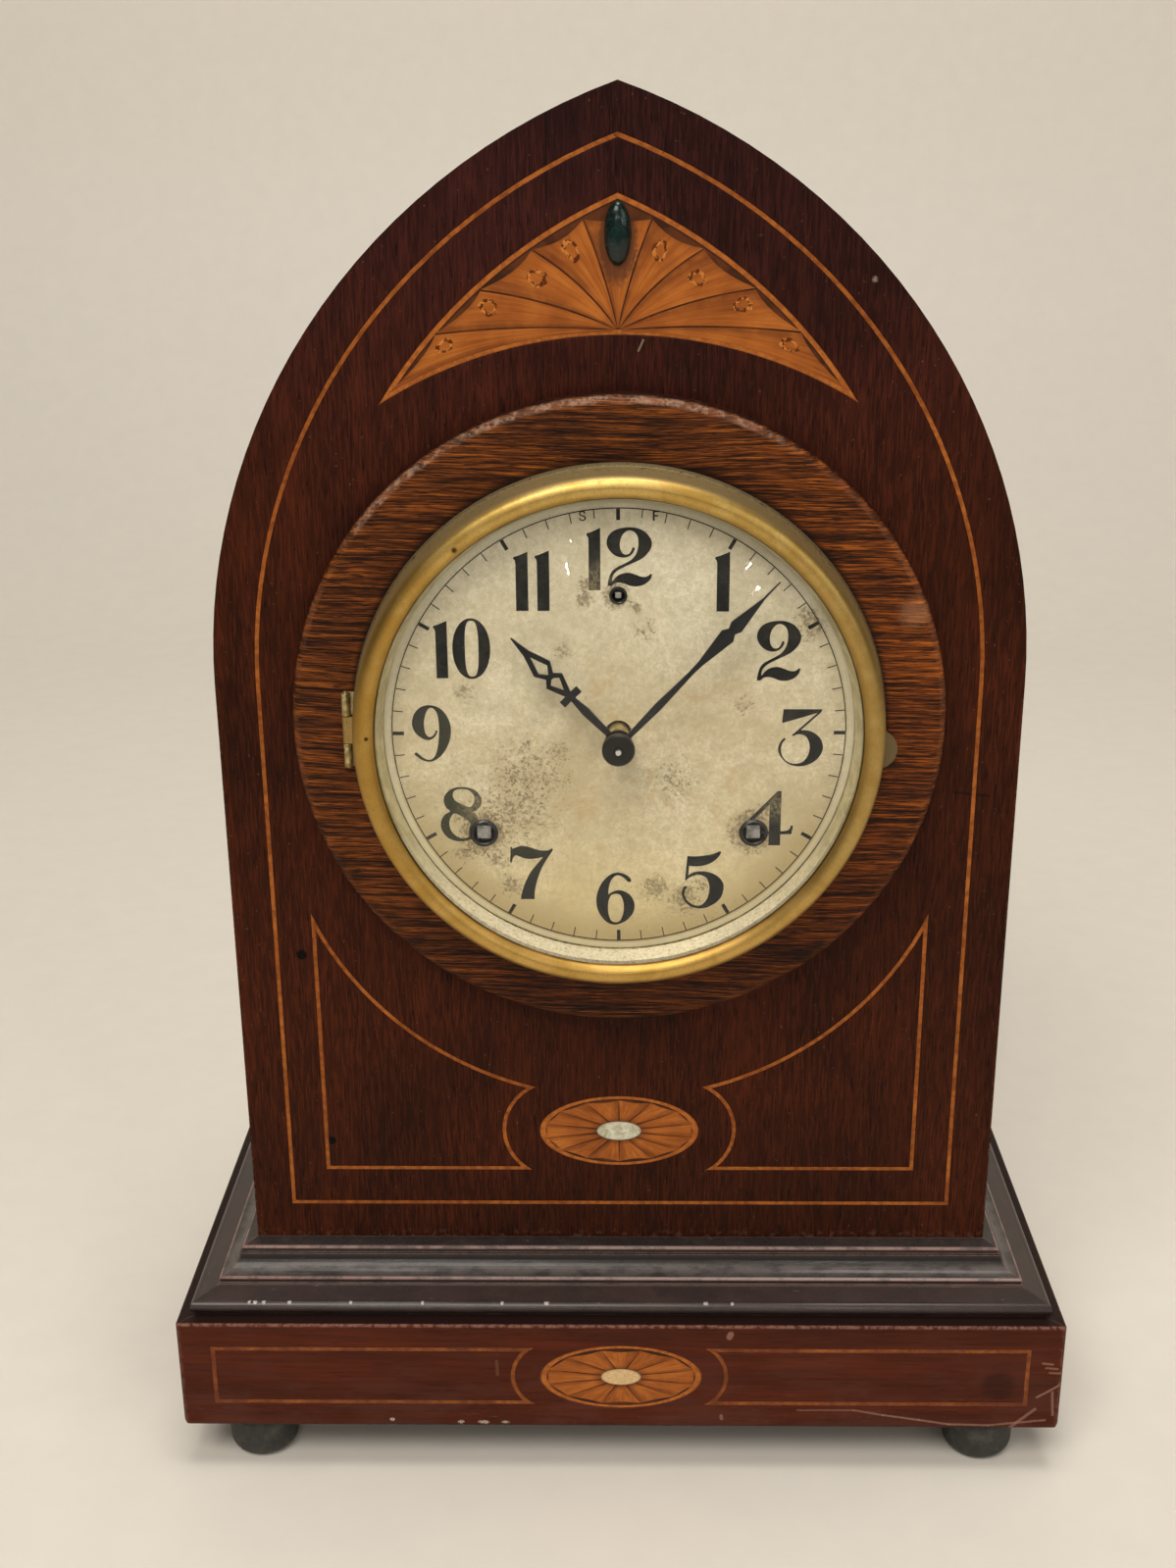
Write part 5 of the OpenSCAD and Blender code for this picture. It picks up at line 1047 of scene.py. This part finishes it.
def smooth_path(pts, n=7, closed=True):
    """Points (x, z) or (x, z, 'c') for a corner; the rest is drawn through smoothly (Catmull-Rom)."""
    P = [(p[0], p[1]) for p in pts]
    C = [len(p) > 2 for p in pts]
    N = len(P)
    out = []
    rng = range(N) if closed else range(N - 1)
    for i in rng:
        p1, p2 = P[i], P[(i + 1) % N]
        p0 = P[(i - 1) % N] if not C[i] else (2 * p1[0] - p2[0], 2 * p1[1] - p2[1])
        p3 = P[(i + 2) % N] if not C[(i + 1) % N] else (2 * p2[0] - p1[0], 2 * p2[1] - p1[1])
        if C[i] and C[(i + 1) % N]:
            out.append(p1)
            continue
        d01 = max(1e-6, math.hypot(p1[0] - p0[0], p1[1] - p0[1])) ** 0.5
        d12 = max(1e-6, math.hypot(p2[0] - p1[0], p2[1] - p1[1])) ** 0.5
        d23 = max(1e-6, math.hypot(p3[0] - p2[0], p3[1] - p2[1])) ** 0.5
        m1 = [(p1[k] - p0[k]) / d01 - (p2[k] - p0[k]) / (d01 + d12) + (p2[k] - p1[k]) / d12 for k in (0, 1)]
        m2 = [(p2[k] - p1[k]) / d12 - (p3[k] - p1[k]) / (d12 + d23) + (p3[k] - p2[k]) / d23 for k in (0, 1)]
        for j in range(n):
            t = j / n
            h00, h10, h01, h11 = 2 * t**3 - 3 * t**2 + 1, t**3 - 2 * t**2 + t, -2 * t**3 + 3 * t**2, t**3 - t**2
            out.append(tuple(h00 * p1[k] + h10 * m1[k] * d12 + h01 * p2[k] + h11 * m2[k] * d12 for k in (0, 1)))
    return out


def ellipse(cx, cz, a, b, n=40, pw=2.0, rot=0.0):
    out = []
    for i in range(n):
        t = 2 * math.pi * i / n
        c, s = math.cos(t), math.sin(t)
        x = a * math.copysign(abs(c) ** (2 / pw), c)
        z = b * math.copysign(abs(s) ** (2 / pw), s)
        out.append((cx + x * math.cos(rot) - z * math.sin(rot), cz + x * math.sin(rot) + z * math.cos(rot)))
    return out


# ---------------------------------------------------------------- numerals
c = "c"
DIGITS = {
    "1": [smooth_path([(0.6, 0.0, c), (3.95, 0.0, c), (3.95, 17.2, c), (2.6, 16.6), (1.2, 16.0), (0.1, 15.7, c), (0.0, 15.2, c), (0.45, 14.6), (0.6, 13.6, c)])],
    "2": [smooth_path([(0.17, 0.14, c), (0.43, 1.90), (0.82, 3.31), (1.63, 4.72), (2.81, 5.59), (4.29, 6.40), (5.77, 7.21), (6.83, 7.98), (7.81, 9.32), (8.31, 10.77), (8.50, 12.48), (8.30, 14.27), (7.63, 15.51), (6.66, 16.12), (5.67, 16.13), (4.65, 15.42), (3.85, 14.04), (3.51, 12.18), (3.73, 10.63), (4.36, 9.57), (5.12, 9.23), (6.01, 9.54), (6.64, 10.47), (6.95, 11.24), (7.28, 11.33), (7.55, 11.05), (7.42, 10.47), (6.91, 9.54), (6.03, 8.79), (4.84, 8.39), (3.63, 8.46), (2.12, 9.08), (0.73, 10.48), (0.00, 12.19), (0.19, 14.05), (1.35, 15.74), (3.12, 16.66), (4.90, 17.02), (6.69, 17.08), (8.49, 16.73), (10.32, 15.71), (11.56, 14.17), (12.12, 12.62), (11.81, 10.92), (10.81, 9.37), (9.35, 8.01), (7.88, 7.20), (6.10, 6.33), (4.32, 5.43), (2.83, 4.56), (1.81, 3.40), (1.47, 2.37), (1.47, 1.43, c), (2.14, 2.37), (3.17, 3.31), (4.51, 3.84), (6.01, 3.96), (7.68, 3.45), (9.21, 2.85), (10.42, 2.76), (11.25, 3.13), (11.84, 3.63), (12.23, 3.44, c), (11.79, 2.13), (10.63, 0.87), (9.29, 0.22), (7.78, 0.00), (6.27, 0.19), (4.74, 0.82), (3.38, 1.11), (2.02, 0.83), (1.32, 0.11, c)])],
    "3": [smooth_path([(1.25, 16.73, c), (11.94, 16.71, c), (11.95, 16.26, c), (11.46, 15.59, c), (6.22, 10.62, c), (8.29, 10.49), (10.15, 9.68), (11.73, 8.17), (12.53, 6.14), (12.33, 4.14), (11.03, 2.04), (9.23, 0.74), (7.11, 0.00), (4.96, 0.00), (3.10, 0.62), (1.53, 1.89), (0.31, 3.68), (0.00, 5.03), (0.24, 6.39), (0.91, 7.61), (1.65, 8.32), (2.02, 8.16), (1.91, 7.80), (1.26, 6.90), (0.90, 5.68), (0.88, 4.39), (1.38, 2.77), (2.46, 1.50), (4.02, 0.78), (5.40, 0.72), (7.07, 1.30), (8.39, 3.08), (8.86, 5.34), (8.55, 7.28), (7.74, 8.72), (6.50, 9.34), (5.28, 9.37), (4.14, 8.86, c), (3.76, 9.21, c), (4.80, 10.11), (10.79, 15.72, c), (7.24, 14.58), (4.23, 13.66), (1.16, 12.74, c), (0.91, 12.94, c)])],
    "4": [smooth_path([(7.86, 16.42, c), (9.00, 16.42, c), (8.98, 12.80, c), (8.95, 8.50, c), (8.97, 4.31, c), (10.03, 4.35), (10.96, 4.58), (11.56, 5.11), (11.88, 6.01, c), (12.50, 6.01, c), (12.37, 5.01, c), (12.11, 3.41, c), (8.94, 3.38, c), (8.94, 0.00, c), (5.60, 0.00, c), (5.67, 3.38, c), (3.15, 3.38, c), (3.13, 4.25, c), (5.68, 4.28, c), (5.74, 12.48, c), (1.33, 7.78, c), (0.00, 7.78, c), (0.24, 8.28, c)])],
    "5": [smooth_path([(1.54, 16.35, c), (3.26, 16.21), (5.45, 16.31), (7.64, 16.61), (9.19, 17.05), (10.43, 17.62), (10.93, 17.82, c), (11.16, 17.35, c), (10.77, 16.54), (9.85, 15.36), (8.30, 14.18), (6.43, 13.44), (4.24, 13.14), (2.07, 13.24, c), (1.89, 10.33, c), (3.01, 11.11), (4.57, 11.55), (6.14, 11.54), (8.03, 11.24), (9.93, 10.32), (11.27, 9.03), (12.05, 7.50), (11.96, 5.45), (11.31, 3.47), (9.76, 1.68), (7.88, 0.52), (5.67, 0.00), (4.09, 0.14), (2.19, 0.89), (0.84, 2.37), (0.00, 4.43), (0.17, 5.86), (0.73, 6.89), (1.36, 6.96), (1.49, 6.61), (1.06, 5.80), (0.85, 4.43), (1.41, 2.78), (2.81, 1.44), (4.40, 0.89), (5.66, 1.07), (6.91, 2.27), (7.70, 4.08), (8.01, 6.20), (7.77, 7.91), (7.12, 9.44), (6.00, 10.26), (4.90, 10.46), (3.34, 10.19), (2.02, 9.48), (1.25, 8.63, c), (0.90, 8.80, c)])],
    "6": [smooth_path([(6.18, 16.26), (4.61, 15.96), (2.87, 14.70), (1.29, 12.52), (0.27, 9.78), (0.00, 7.25), (0.49, 4.49), (1.75, 2.15), (3.46, 0.55), (5.30, 0.00), (6.95, 0.38), (8.86, 1.45), (10.44, 3.35), (11.10, 5.77), (10.63, 8.00), (9.33, 9.71), (7.66, 10.64), (6.33, 10.81), (5.07, 10.50), (4.12, 9.95), (3.49, 9.44, c), (3.62, 11.43), (4.13, 13.40), (4.95, 14.80), (5.93, 15.44), (7.03, 15.31), (8.23, 14.46), (8.95, 13.64), (9.49, 13.37), (10.05, 13.57), (9.99, 14.32), (9.17, 15.24), (7.85, 15.99)]),
          smooth_path([(5.67, 9.75), (7.12, 9.03), (7.84, 6.97), (7.97, 5.08), (7.59, 2.84), (6.70, 1.11), (5.65, 0.73), (4.41, 1.18), (3.62, 3.01), (3.38, 5.25), (3.54, 7.31), (4.28, 9.10)])],
    "7": [smooth_path([(0.21, 16.28, c), (0.53, 16.21), (0.76, 15.61, c), (2.03, 16.18), (3.60, 16.45), (5.48, 16.18), (7.35, 15.50), (8.91, 15.10), (10.47, 15.06), (11.42, 15.33), (12.05, 15.80, c), (12.39, 15.40, c), (11.88, 14.42), (10.75, 12.73), (9.46, 10.37), (8.48, 8.16), (7.69, 5.78), (7.18, 3.73), (6.90, 1.75), (6.83, 0.00, c), (2.88, 0.00, c), (3.16, 1.75), (3.84, 4.14), (4.83, 6.53), (6.13, 8.84), (7.90, 11.11), (9.50, 13.14, c), (7.93, 12.70), (6.04, 12.50), (4.16, 12.71), (2.60, 13.35), (1.66, 13.59), (1.03, 13.15), (0.63, 12.13), (0.36, 11.29), (0.05, 11.46), (0.00, 12.13), (0.10, 13.99)])],
    "8": [smooth_path([(6.18, 16.41), (4.15, 16.18), (2.26, 15.03), (1.11, 13.22), (1.20, 11.40), (1.93, 9.91), (2.75, 9.18), (1.25, 8.09), (0.16, 6.26), (0.00, 4.42), (0.75, 2.42), (2.26, 0.81), (4.58, 0.00), (7.09, 0.13), (8.68, 0.67, c), (8.27, 1.74), (8.24, 3.08), (8.52, 4.08), (9.44, 5.42), (10.77, 6.35, c), (10.13, 8.08), (9.28, 8.88), (10.17, 9.34), (11.29, 10.40), (11.86, 12.05), (11.47, 13.70), (10.18, 15.35), (8.34, 16.18)]),
          smooth_path([(6.32, 15.85), (8.17, 15.52), (9.38, 14.37), (9.83, 12.98), (9.48, 11.39), (8.64, 10.47), (7.71, 10.47), (6.48, 11.07), (4.95, 11.90), (3.93, 12.89), (3.63, 14.21), (4.12, 15.23), (5.07, 15.75)]),
          smooth_path([(3.91, 8.45), (5.15, 8.08), (6.62, 7.25), (7.89, 6.08), (8.46, 5.25), (8.09, 4.08), (7.92, 2.75), (7.98, 1.57), (7.18, 0.94), (5.71, 0.87), (4.17, 1.71), (2.96, 3.08), (2.43, 5.09), (2.81, 7.09)])],
    "9": [smooth_path([(5.22, 16.65), (6.73, 16.33), (8.38, 15.33), (9.84, 13.41), (10.69, 11.04), (10.83, 8.79), (10.38, 6.21), (9.21, 3.63), (7.60, 1.52), (5.71, 0.23), (4.00, 0.00), (2.32, 0.56), (1.27, 1.37), (0.38, 2.18), (0.52, 2.61), (1.01, 2.67), (1.91, 1.86), (2.96, 1.04), (4.17, 0.55), (5.26, 0.78), (6.40, 2.34), (7.00, 4.60), (7.32, 6.87), (7.49, 9.12), (7.44, 12.01), (7.06, 14.25), (6.25, 15.53), (5.34, 15.91), (4.40, 15.21), (3.73, 13.62), (3.35, 11.70), (3.36, 10.09), (3.69, 8.32), (4.27, 7.52), (5.04, 7.35), (5.82, 7.84), (6.37, 8.64), (6.61, 9.28), (6.95, 9.28), (7.02, 8.86), (6.66, 8.00), (5.95, 7.03), (4.85, 6.48), (3.77, 6.48), (2.26, 7.20), (0.78, 8.65), (0.00, 10.58), (0.07, 12.35), (0.86, 14.42), (2.29, 15.92), (3.84, 16.56)])],
    "0": [ellipse(5.25, 8.65, 5.25, 8.65, 56, 2.05), ellipse(5.34, 8.65, 1.87, 7.95, 48, 3.0)],
}


def number(parts):
    """Outlines of a number: each part is a digit, its lower left corner on the dial and its stretch across and up."""
    loops = []
    for ch, x0, z0, sx, sz in parts:
        for lp in DIGITS[ch]:
            loops.append([(x0 + px * sx, z0 + pz * sz) for px, pz in lp])
    return loops


LAYOUT = [("12", [("1", -8.60, 40.94, 0.95, 1.0), ("2", -3.10, 41.96, 1.01, 0.953)]), ("1", [("1", 26.25, 34.84, 1.03, 0.967)]), ("2", [("2", 38.16, 15.1, 1, 1)]),
          ("3", [("3", 44.78, -9.88, 1, 1)]), ("4", [("4", 37.18, -33.81, 1, 1)]), ("5", [("5", 18.19, -53.43, 1, 1)]), ("6", [("6", -6.48, -58.54, 1, 1)]),
          ("7", [("7", -31.19, -50.47, 1, 1)]), ("8", [("8", -50.75, -32.46, 1, 1)]), ("9", [("9", -57.82, -8.41, 1, 1)]),
          ("10", [("1", -51.0, 16.08, 0.96, 0.953), ("0", -45.85, 15.85, 1, 1)]), ("11", [("1", -28.55, 35.20, 1.0, 0.957), ("1", -22.72, 35.18, 1.0, 0.977)])]
INK_F, INK_B = DIAL - 0.07, DIAL + 0.03
for text, parts in LAYOUT:
    flat_shapes("numeral_" + text, number(parts), INK_F, INK_B, "dial_print", "case")

# minute track with its ticks, one piece
loops = [ellipse(0, 0, 63.65, 63.65, 180), ellipse(0, 0, 63.35, 63.35, 180)]
track = flat_shapes("minute_track", loops, INK_F, INK_B, "dial_print", "case")
ticks = []
for i in range(60):
    t = math.pi / 2 - 2 * math.pi * i / 60
    w = 0.52 if i % 5 == 0 else 0.14
    r1, r0 = 63.3, (60.2 if i % 5 == 0 else 60.6)
    if i in (59, 1):
        r0 = 61.0
    ux, uz = math.cos(t), math.sin(t)
    ticks.append([(ux * r1 - uz * w, uz * r1 + ux * w), (ux * r1 + uz * w, uz * r1 - ux * w), (ux * r0 + uz * w, uz * r0 - ux * w), (ux * r0 - uz * w, uz * r0 + ux * w)])
flat_shapes("minute_ticks", ticks, INK_F, INK_B, "dial_print", "case")
S_MARK = smooth_path([(0.05, 0.75, c), (0.35, 0.2), (1.0, 0.0), (1.7, 0.25), (1.95, 0.85), (1.6, 1.35), (1.0, 1.55), (0.55, 1.75), (0.45, 2.1), (0.75, 2.4), (1.15, 2.4), (1.5, 2.0, c), (1.85, 2.1, c), (1.55, 2.6), (1.0, 2.75), (0.4, 2.6), (0.08, 2.05),
                      (0.3, 1.5), (0.9, 1.25), (1.4, 1.05), (1.55, 0.75), (1.3, 0.4), (0.9, 0.33), (0.5, 0.55), (0.4, 0.85, c)])
F_MARK = [(0, 0), (0.55, 0), (0.55, 1.12), (1.45, 1.12), (1.45, 1.55), (0.55, 1.55), (0.55, 2.3), (1.75, 2.3), (1.75, 2.78), (0, 2.78)]
flat_shapes("regulator_mark_slow", [[(x - 10.6, z + 60.0) for x, z in S_MARK]], INK_F, INK_B, "dial_print", "case")
flat_shapes("regulator_mark_fast", [[(x + 9.3, z + 60.0) for x, z in F_MARK]], INK_F, INK_B, "dial_print", "case")


# ---------------------------------------------------------------- marquetry rays
def ray_piece(bm, layer, left, rightp, outer, k, y_top, y_bot, nu=14, nv=6):
    """One ray as a closed slab. left and right are functions u -> (x, z); outer(v) is the scalloped end."""
    top, bot = {}, {}
    for i in range(nu + 1):
        for j in range(nv + 1):
            u, v = i / nu, j / nv
            a, b = left(u), rightp(u)
            x, z = a[0] + (b[0] - a[0]) * v, a[1] + (b[1] - a[1]) * v
            ox, oz = outer(v)
            # pull the outer rows onto the scallop
            ea, eb = left(1.0), rightp(1.0)
            ex, ez = ea[0] + (eb[0] - ea[0]) * v, ea[1] + (eb[1] - ea[1]) * v
            f = u ** 3
            x, z = x + (ox - ex) * f, z + (oz - ez) * f
            for d, yy in ((top, y_top), (bot, y_bot)):
                vt = bm.verts.new((x * MM, yy * MM, (z + DZ) * MM))
                vt[layer] = Vector((u, v, k))
                d[i, j] = vt
    for i in range(nu):
        for j in range(nv):
            bm.faces.new((top[i, j], top[i + 1, j], top[i + 1, j + 1], top[i, j + 1]))
            bm.faces.new((bot[i, j], bot[i, j + 1], bot[i + 1, j + 1], bot[i + 1, j]))
    rim = [(i, 0) for i in range(nu)] + [(nu, j) for j in range(nv)] + [(i, nv) for i in range(nu, 0, -1)] + [(0, j) for j in range(nv, 0, -1)]
    for q, (a, b) in enumerate(rim):
        a2, b2 = rim[(q + 1) % len(rim)]
        bm.faces.new((top[a, b], bot[a, b], bot[a2, b2], top[a2, b2]))


def shift(p, q, d):
    """Unit normal offset of segment p-q times d."""
    L = math.hypot(q[0] - p[0], q[1] - p[1])
    return (-(q[1] - p[1]) / L * d, (q[0] - p[0]) / L * d)


FOC = (0.0, 109.0)
# joints of the fan: outer end and how far the joint bows upward; mirrored on the right
J_HALF = [((-62.0, 92.2), -1.2), ((-48.9, 108.2), 1.2), ((-36.5, 119.5), 1.5), ((-22.6, 129.7), 1.7), ((-9.0, 137.2), 0.7)]
JOINTS = J_HALF + [((-p[0], p[1]), b) for p, b in reversed(J_HALF)]


def joint_curve(p, bow, off):
    fx, fz = FOC
    dx, dz = p[0] - fx, p[1] - fz
    L = math.hypot(dx, dz)
    nx, nz = (-dz / L, dx / L)
    if nz < 0:
        nx, nz = -nx, -nz
    def f(u):
        t = 0.02 + 0.98 * u
        b = 4 * t * (1 - t) * bow
        w = off * min(1.0, t * 6)
        # off is measured square to the ray, anticlockwise
        return (fx + dx * t + nx * b - dz / L * w, fz + dz * t + nz * b + dx / L * w)
    return f


bm = bmesh.new()
lay = bm.verts.layers.float_vector.new("ray")
for i in range(9):
    (pa, ba), (pb, bb) = JOINTS[i], JOINTS[i + 1]
    # ray i lies clockwise of joint i and anticlockwise of joint i+1
    la, lb = joint_curve(pa, ba, -0.24), joint_curve(pb, bb, 0.24)
    if i in (0, 8):
        # the lowest rays run along the bottom arc of the fan
        sgn = -1 if i == 0 else 1
        def low(u, sgn=sgn):
            a = math.radians(0.3 + 29.2 * (0.02 + 0.98 * u))
            return (sgn * 126.1 * math.sin(a), -17.0 + 126.1 * math.cos(a) - 0.5 * (1 - u) ** 3)
        if i == 0:
            la = low
        else:
            lb = low
    A, B = la(1.0), lb(1.0)
    sag = {0: 1.6, 8: 1.6, 4: 0.6}.get(i, 1.5)
    def outer(v, A=A, B=B, sag=sag):
        x, z = A[0] + (B[0] - A[0]) * v, A[1] + (B[1] - A[1]) * v
        dx, dz = FOC[0] - x, FOC[1] - z
        L = math.hypot(dx, dz)
        s_ = 4 * v * (1 - v) * sag
        return (x + dx / L * s_, z + dz / L * s_)
    ray_piece(bm, lay, la, lb, outer, i * 0.37 + 0.11, FACE - 0.07, FACE + 0.05)
finish_mesh("fan_rays", bm, "marquetry_ray", "case")

# rubbed marks near the wide ends
bm = bmesh.new()
lay = bm.verts.layers.float_vector.new("ray")
for k, (mx_, mz_, w_, h_, rot) in enumerate([(-12.4, 129.6, 2.0, 3.2, 0.3), (-21.3, 122.4, 2.3, 2.9, 0.5), (-34.5, 115.2, 2.6, 2.1, 0.2), (-46.5, 105.2, 2.4, 1.8, 0.3),
                                              (11.0, 129.4, 1.9, 2.9, -0.5), (21.0, 122.4, 2.2, 2.2, -0.4), (33.3, 115.4, 2.7, 1.9, -0.3), (45.8, 104.9, 2.5, 1.8, -0.3)]):
    rnd = random.Random(40 + k)
    ph = [rnd.uniform(0, 6.28) for _ in range(4)]
    N = 36
    rim_t, rim_b, in_t, in_b = [], [], [], []
    for i in range(N):
        t = 2 * math.pi * i / N
        wob = 1 + 0.13 * math.sin(2 * t + ph[0]) + 0.09 * math.sin(3 * t + ph[1]) + 0.06 * math.sin(7 * t + ph[2])
        for lst, f, yy in ((rim_t, 1.0, -0.105), (rim_b, 1.0, -0.03), (in_t, 0.58 + 0.1 * math.sin(t + ph[3]), -0.105), (in_b, 0.58 + 0.1 * math.sin(t + ph[3]), -0.03)):
            x, z = w_ * wob * f * math.cos(t), h_ * wob * f * math.sin(t)
            x, z = x * math.cos(rot) - z * math.sin(rot), x * math.sin(rot) + z * math.cos(rot)
            v = bm.verts.new(((mx_ + x) * MM, (FACE + yy) * MM, (mz_ + z + DZ) * MM))
            v[lay] = Vector((i / N, f, k * 0.3))
            lst.append(v)
    for i in range(N):
        j = (i + 1) % N
        bm.faces.new((rim_t[i], rim_t[j], in_t[j], in_t[i]))
        bm.faces.new((rim_b[i], in_b[i], in_b[j], rim_b[j]))
        bm.faces.new((rim_t[i], rim_b[i], rim_b[j], rim_t[j]))
        bm.faces.new((in_t[i], in_t[j], in_b[j], in_b[i]))
finish_mesh("fan_marks", bm, "marquetry_mark", "case")


def medallion(name, cx, cz, A, B, a0, b0, n, y_face, phase):
    bm = bmesh.new()
    lay = bm.verts.layers.float_vector.new("ray")
    rnd = random.Random(name)
    for i in range(n):
        t0 = 2 * math.pi * (i + phase) / n
        t1 = 2 * math.pi * (i + 1 + phase) / n
        def pt(t, f, off=0.0):
            return (cx + (a0 + (A - a0) * f) * math.cos(t) - off * math.sin(t), cz + (b0 + (B - b0) * f) * math.sin(t) + off * math.cos(t))
        gap = 0.2
        la = lambda u, t=t0: pt(t, u, gap)
        lb = lambda u, t=t1: pt(t, u, -gap)
        sag = 0.95
        def outer(v, t0=t0, t1=t1):
            t = t0 + (t1 - t0) * v
            x, z = pt(t, 1.0)
            L = math.hypot(x - cx, z - cz)
            s_ = (1 - 4 * (v - 0.5) ** 2) * sag - 0.15
            # straight chord between the joints, pushed inward at the middle
            return (x - (x - cx) / L * max(0, s_), z - (z - cz) / L * max(0, s_))
        ray_piece(bm, lay, la, lb, outer, rnd.random() * 3, y_face - 0.07, y_face + 0.05, nu=6, nv=6)
    finish_mesh(name, bm, "marquetry_ray", "case")


medallion("panel_medallion_rays", 0.0, -134.3, 23.3, 10.8, 7.2, 3.6, 14, FACE, 0.5)
medallion("base_medallion_rays", 0.5, -208.7, 23.6, 10.1, 6.6, 3.3, 12, -60.5, 0.5)

# ---------------------------------------------------------------- the green stone, a smooth domed oval
bm = bmesh.new()
NU, NV = 40, 14
cz0 = 133.8
rings = []
for j in range(NV):
    ph = (math.pi / 2) * j / NV
    ring = []
    for i in range(NU):
        t = 2 * math.pi * i / NU
        k = math.cos(ph) ** 0.7
        ring.append(bm.verts.new((3.6 * k * math.cos(t) * MM, (FACE - 3.0 * math.sin(ph)) * MM, (DZ + cz0 + 8.3 * k * math.sin(t)) * MM)))
    rings.append(ring)
tip = bm.verts.new((0, (FACE - 3.0) * MM, (DZ + cz0) * MM))
lo_, hi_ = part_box("crown_cabochon")
base_ring = [bm.verts.new((v.co.x, hi_.y, v.co.z)) for v in rings[0]]
for a, b in zip([base_ring] + rings[:-1], rings):
    for i in range(NU):
        k = (i + 1) % NU
        bm.faces.new((a[i], a[k], b[k], b[i]))
for i in range(NU):
    bm.faces.new((rings[-1][i], rings[-1][(i + 1) % NU], tip))
bm.faces.new(list(reversed(base_ring)))
stone = finish_mesh("crown_stone", bm, "green_cabochon", "case", smooth=True)
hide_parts("crown_cabochon")

# ---------------------------------------------------------------- stage and light
def floor_mat():
    g = G("stage_floor")
    n = g.noise(g.pos(), 60.0, 3, 0.6)
    col = g.mix(n, (0.80, 0.755, 0.68), (0.86, 0.81, 0.73))
    g.shader(base=col, rough=0.55)
    return g.mat


bm = bmesh.new()
pts = [(-6, 0.0), (0.9, 0.0)] + [(0.9 + 0.5 * math.sin(a), 0.5 - 0.5 * math.cos(a)) for a in [math.pi / 2 * i / 10 for i in range(1, 11)]] + [(1.4, 4.0)]
cols = []
for x in (-5.0, 5.0):
    cols.append([bm.verts.new((x, y, z)) for y, z in pts])
for i in range(len(pts) - 1):
    bm.faces.new((cols[0][i], cols[1][i], cols[1][i + 1], cols[0][i + 1]))
me = bpy.data.meshes.new("stage_floor")
bm.to_mesh(me)
bm.free()
for p in me.polygons:
    p.use_smooth = True
stage = bpy.data.objects.new("stage_floor", me)
COLL.objects.link(stage)
me.materials.append(floor_mat())

world = bpy.data.worlds.new("studio")
bpy.context.scene.world = world
world.use_nodes = True
wt = world.node_tree
bg = wt.nodes["Background"]
bg.inputs[0].default_value = (0.86, 0.80, 0.70, 1)
bg.inputs[1].default_value = 0.10


GLINTS = [((-0.385, -2.126, 1.244), 0.025), ((-0.41, -2.208, 1.025), 0.02), ((-0.191, -2.232, 1.039), 0.04), ((0.334, -2.222, 1.018), 0.02),
          ((1.012, -2.031, 0.966), 0.02), ((1.072, -2.055, 0.783), 0.025)]


def area(name, loc, target, size, power, color=(1, 1, 1), size_y=None, spread=None):
    d = bpy.data.lights.new(name, "AREA")
    d.shape = "RECTANGLE" if size_y else "DISK"
    d.size = size
    if size_y:
        d.size_y = size_y
    d.energy = power
    d.color = color
    if spread:
        d.spread = spread
    o = bpy.data.objects.new(name, d)
    COLL.objects.link(o)
    o.location = loc
    o.rotation_euler = (Vector(target) - Vector(loc)).to_track_quat("-Z", "Y").to_euler()
    return o


area("key", (-0.55, -1.5, 2.1), (0, 0, 0.22), 1.3, 29.5, (1.0, 0.95, 0.88), 0.9)
area("fill", (1.7, -1.4, 1.3), (0, 0, 0.2), 1.4, 8.6, (1.0, 0.955, 0.89), 1.4)
area("top", (0.1, -0.2, 2.4), (0, 0, 0.2), 0.9, 21.5, (1.0, 0.955, 0.89), 0.9)

# small lamps high up; each one glints once on the domed glass
for i, (loc, size) in enumerate(GLINTS):
    area("lamp_%d" % i, loc, (0, -0.06, 0.26), size, 1.1, (1.0, 0.97, 0.93))
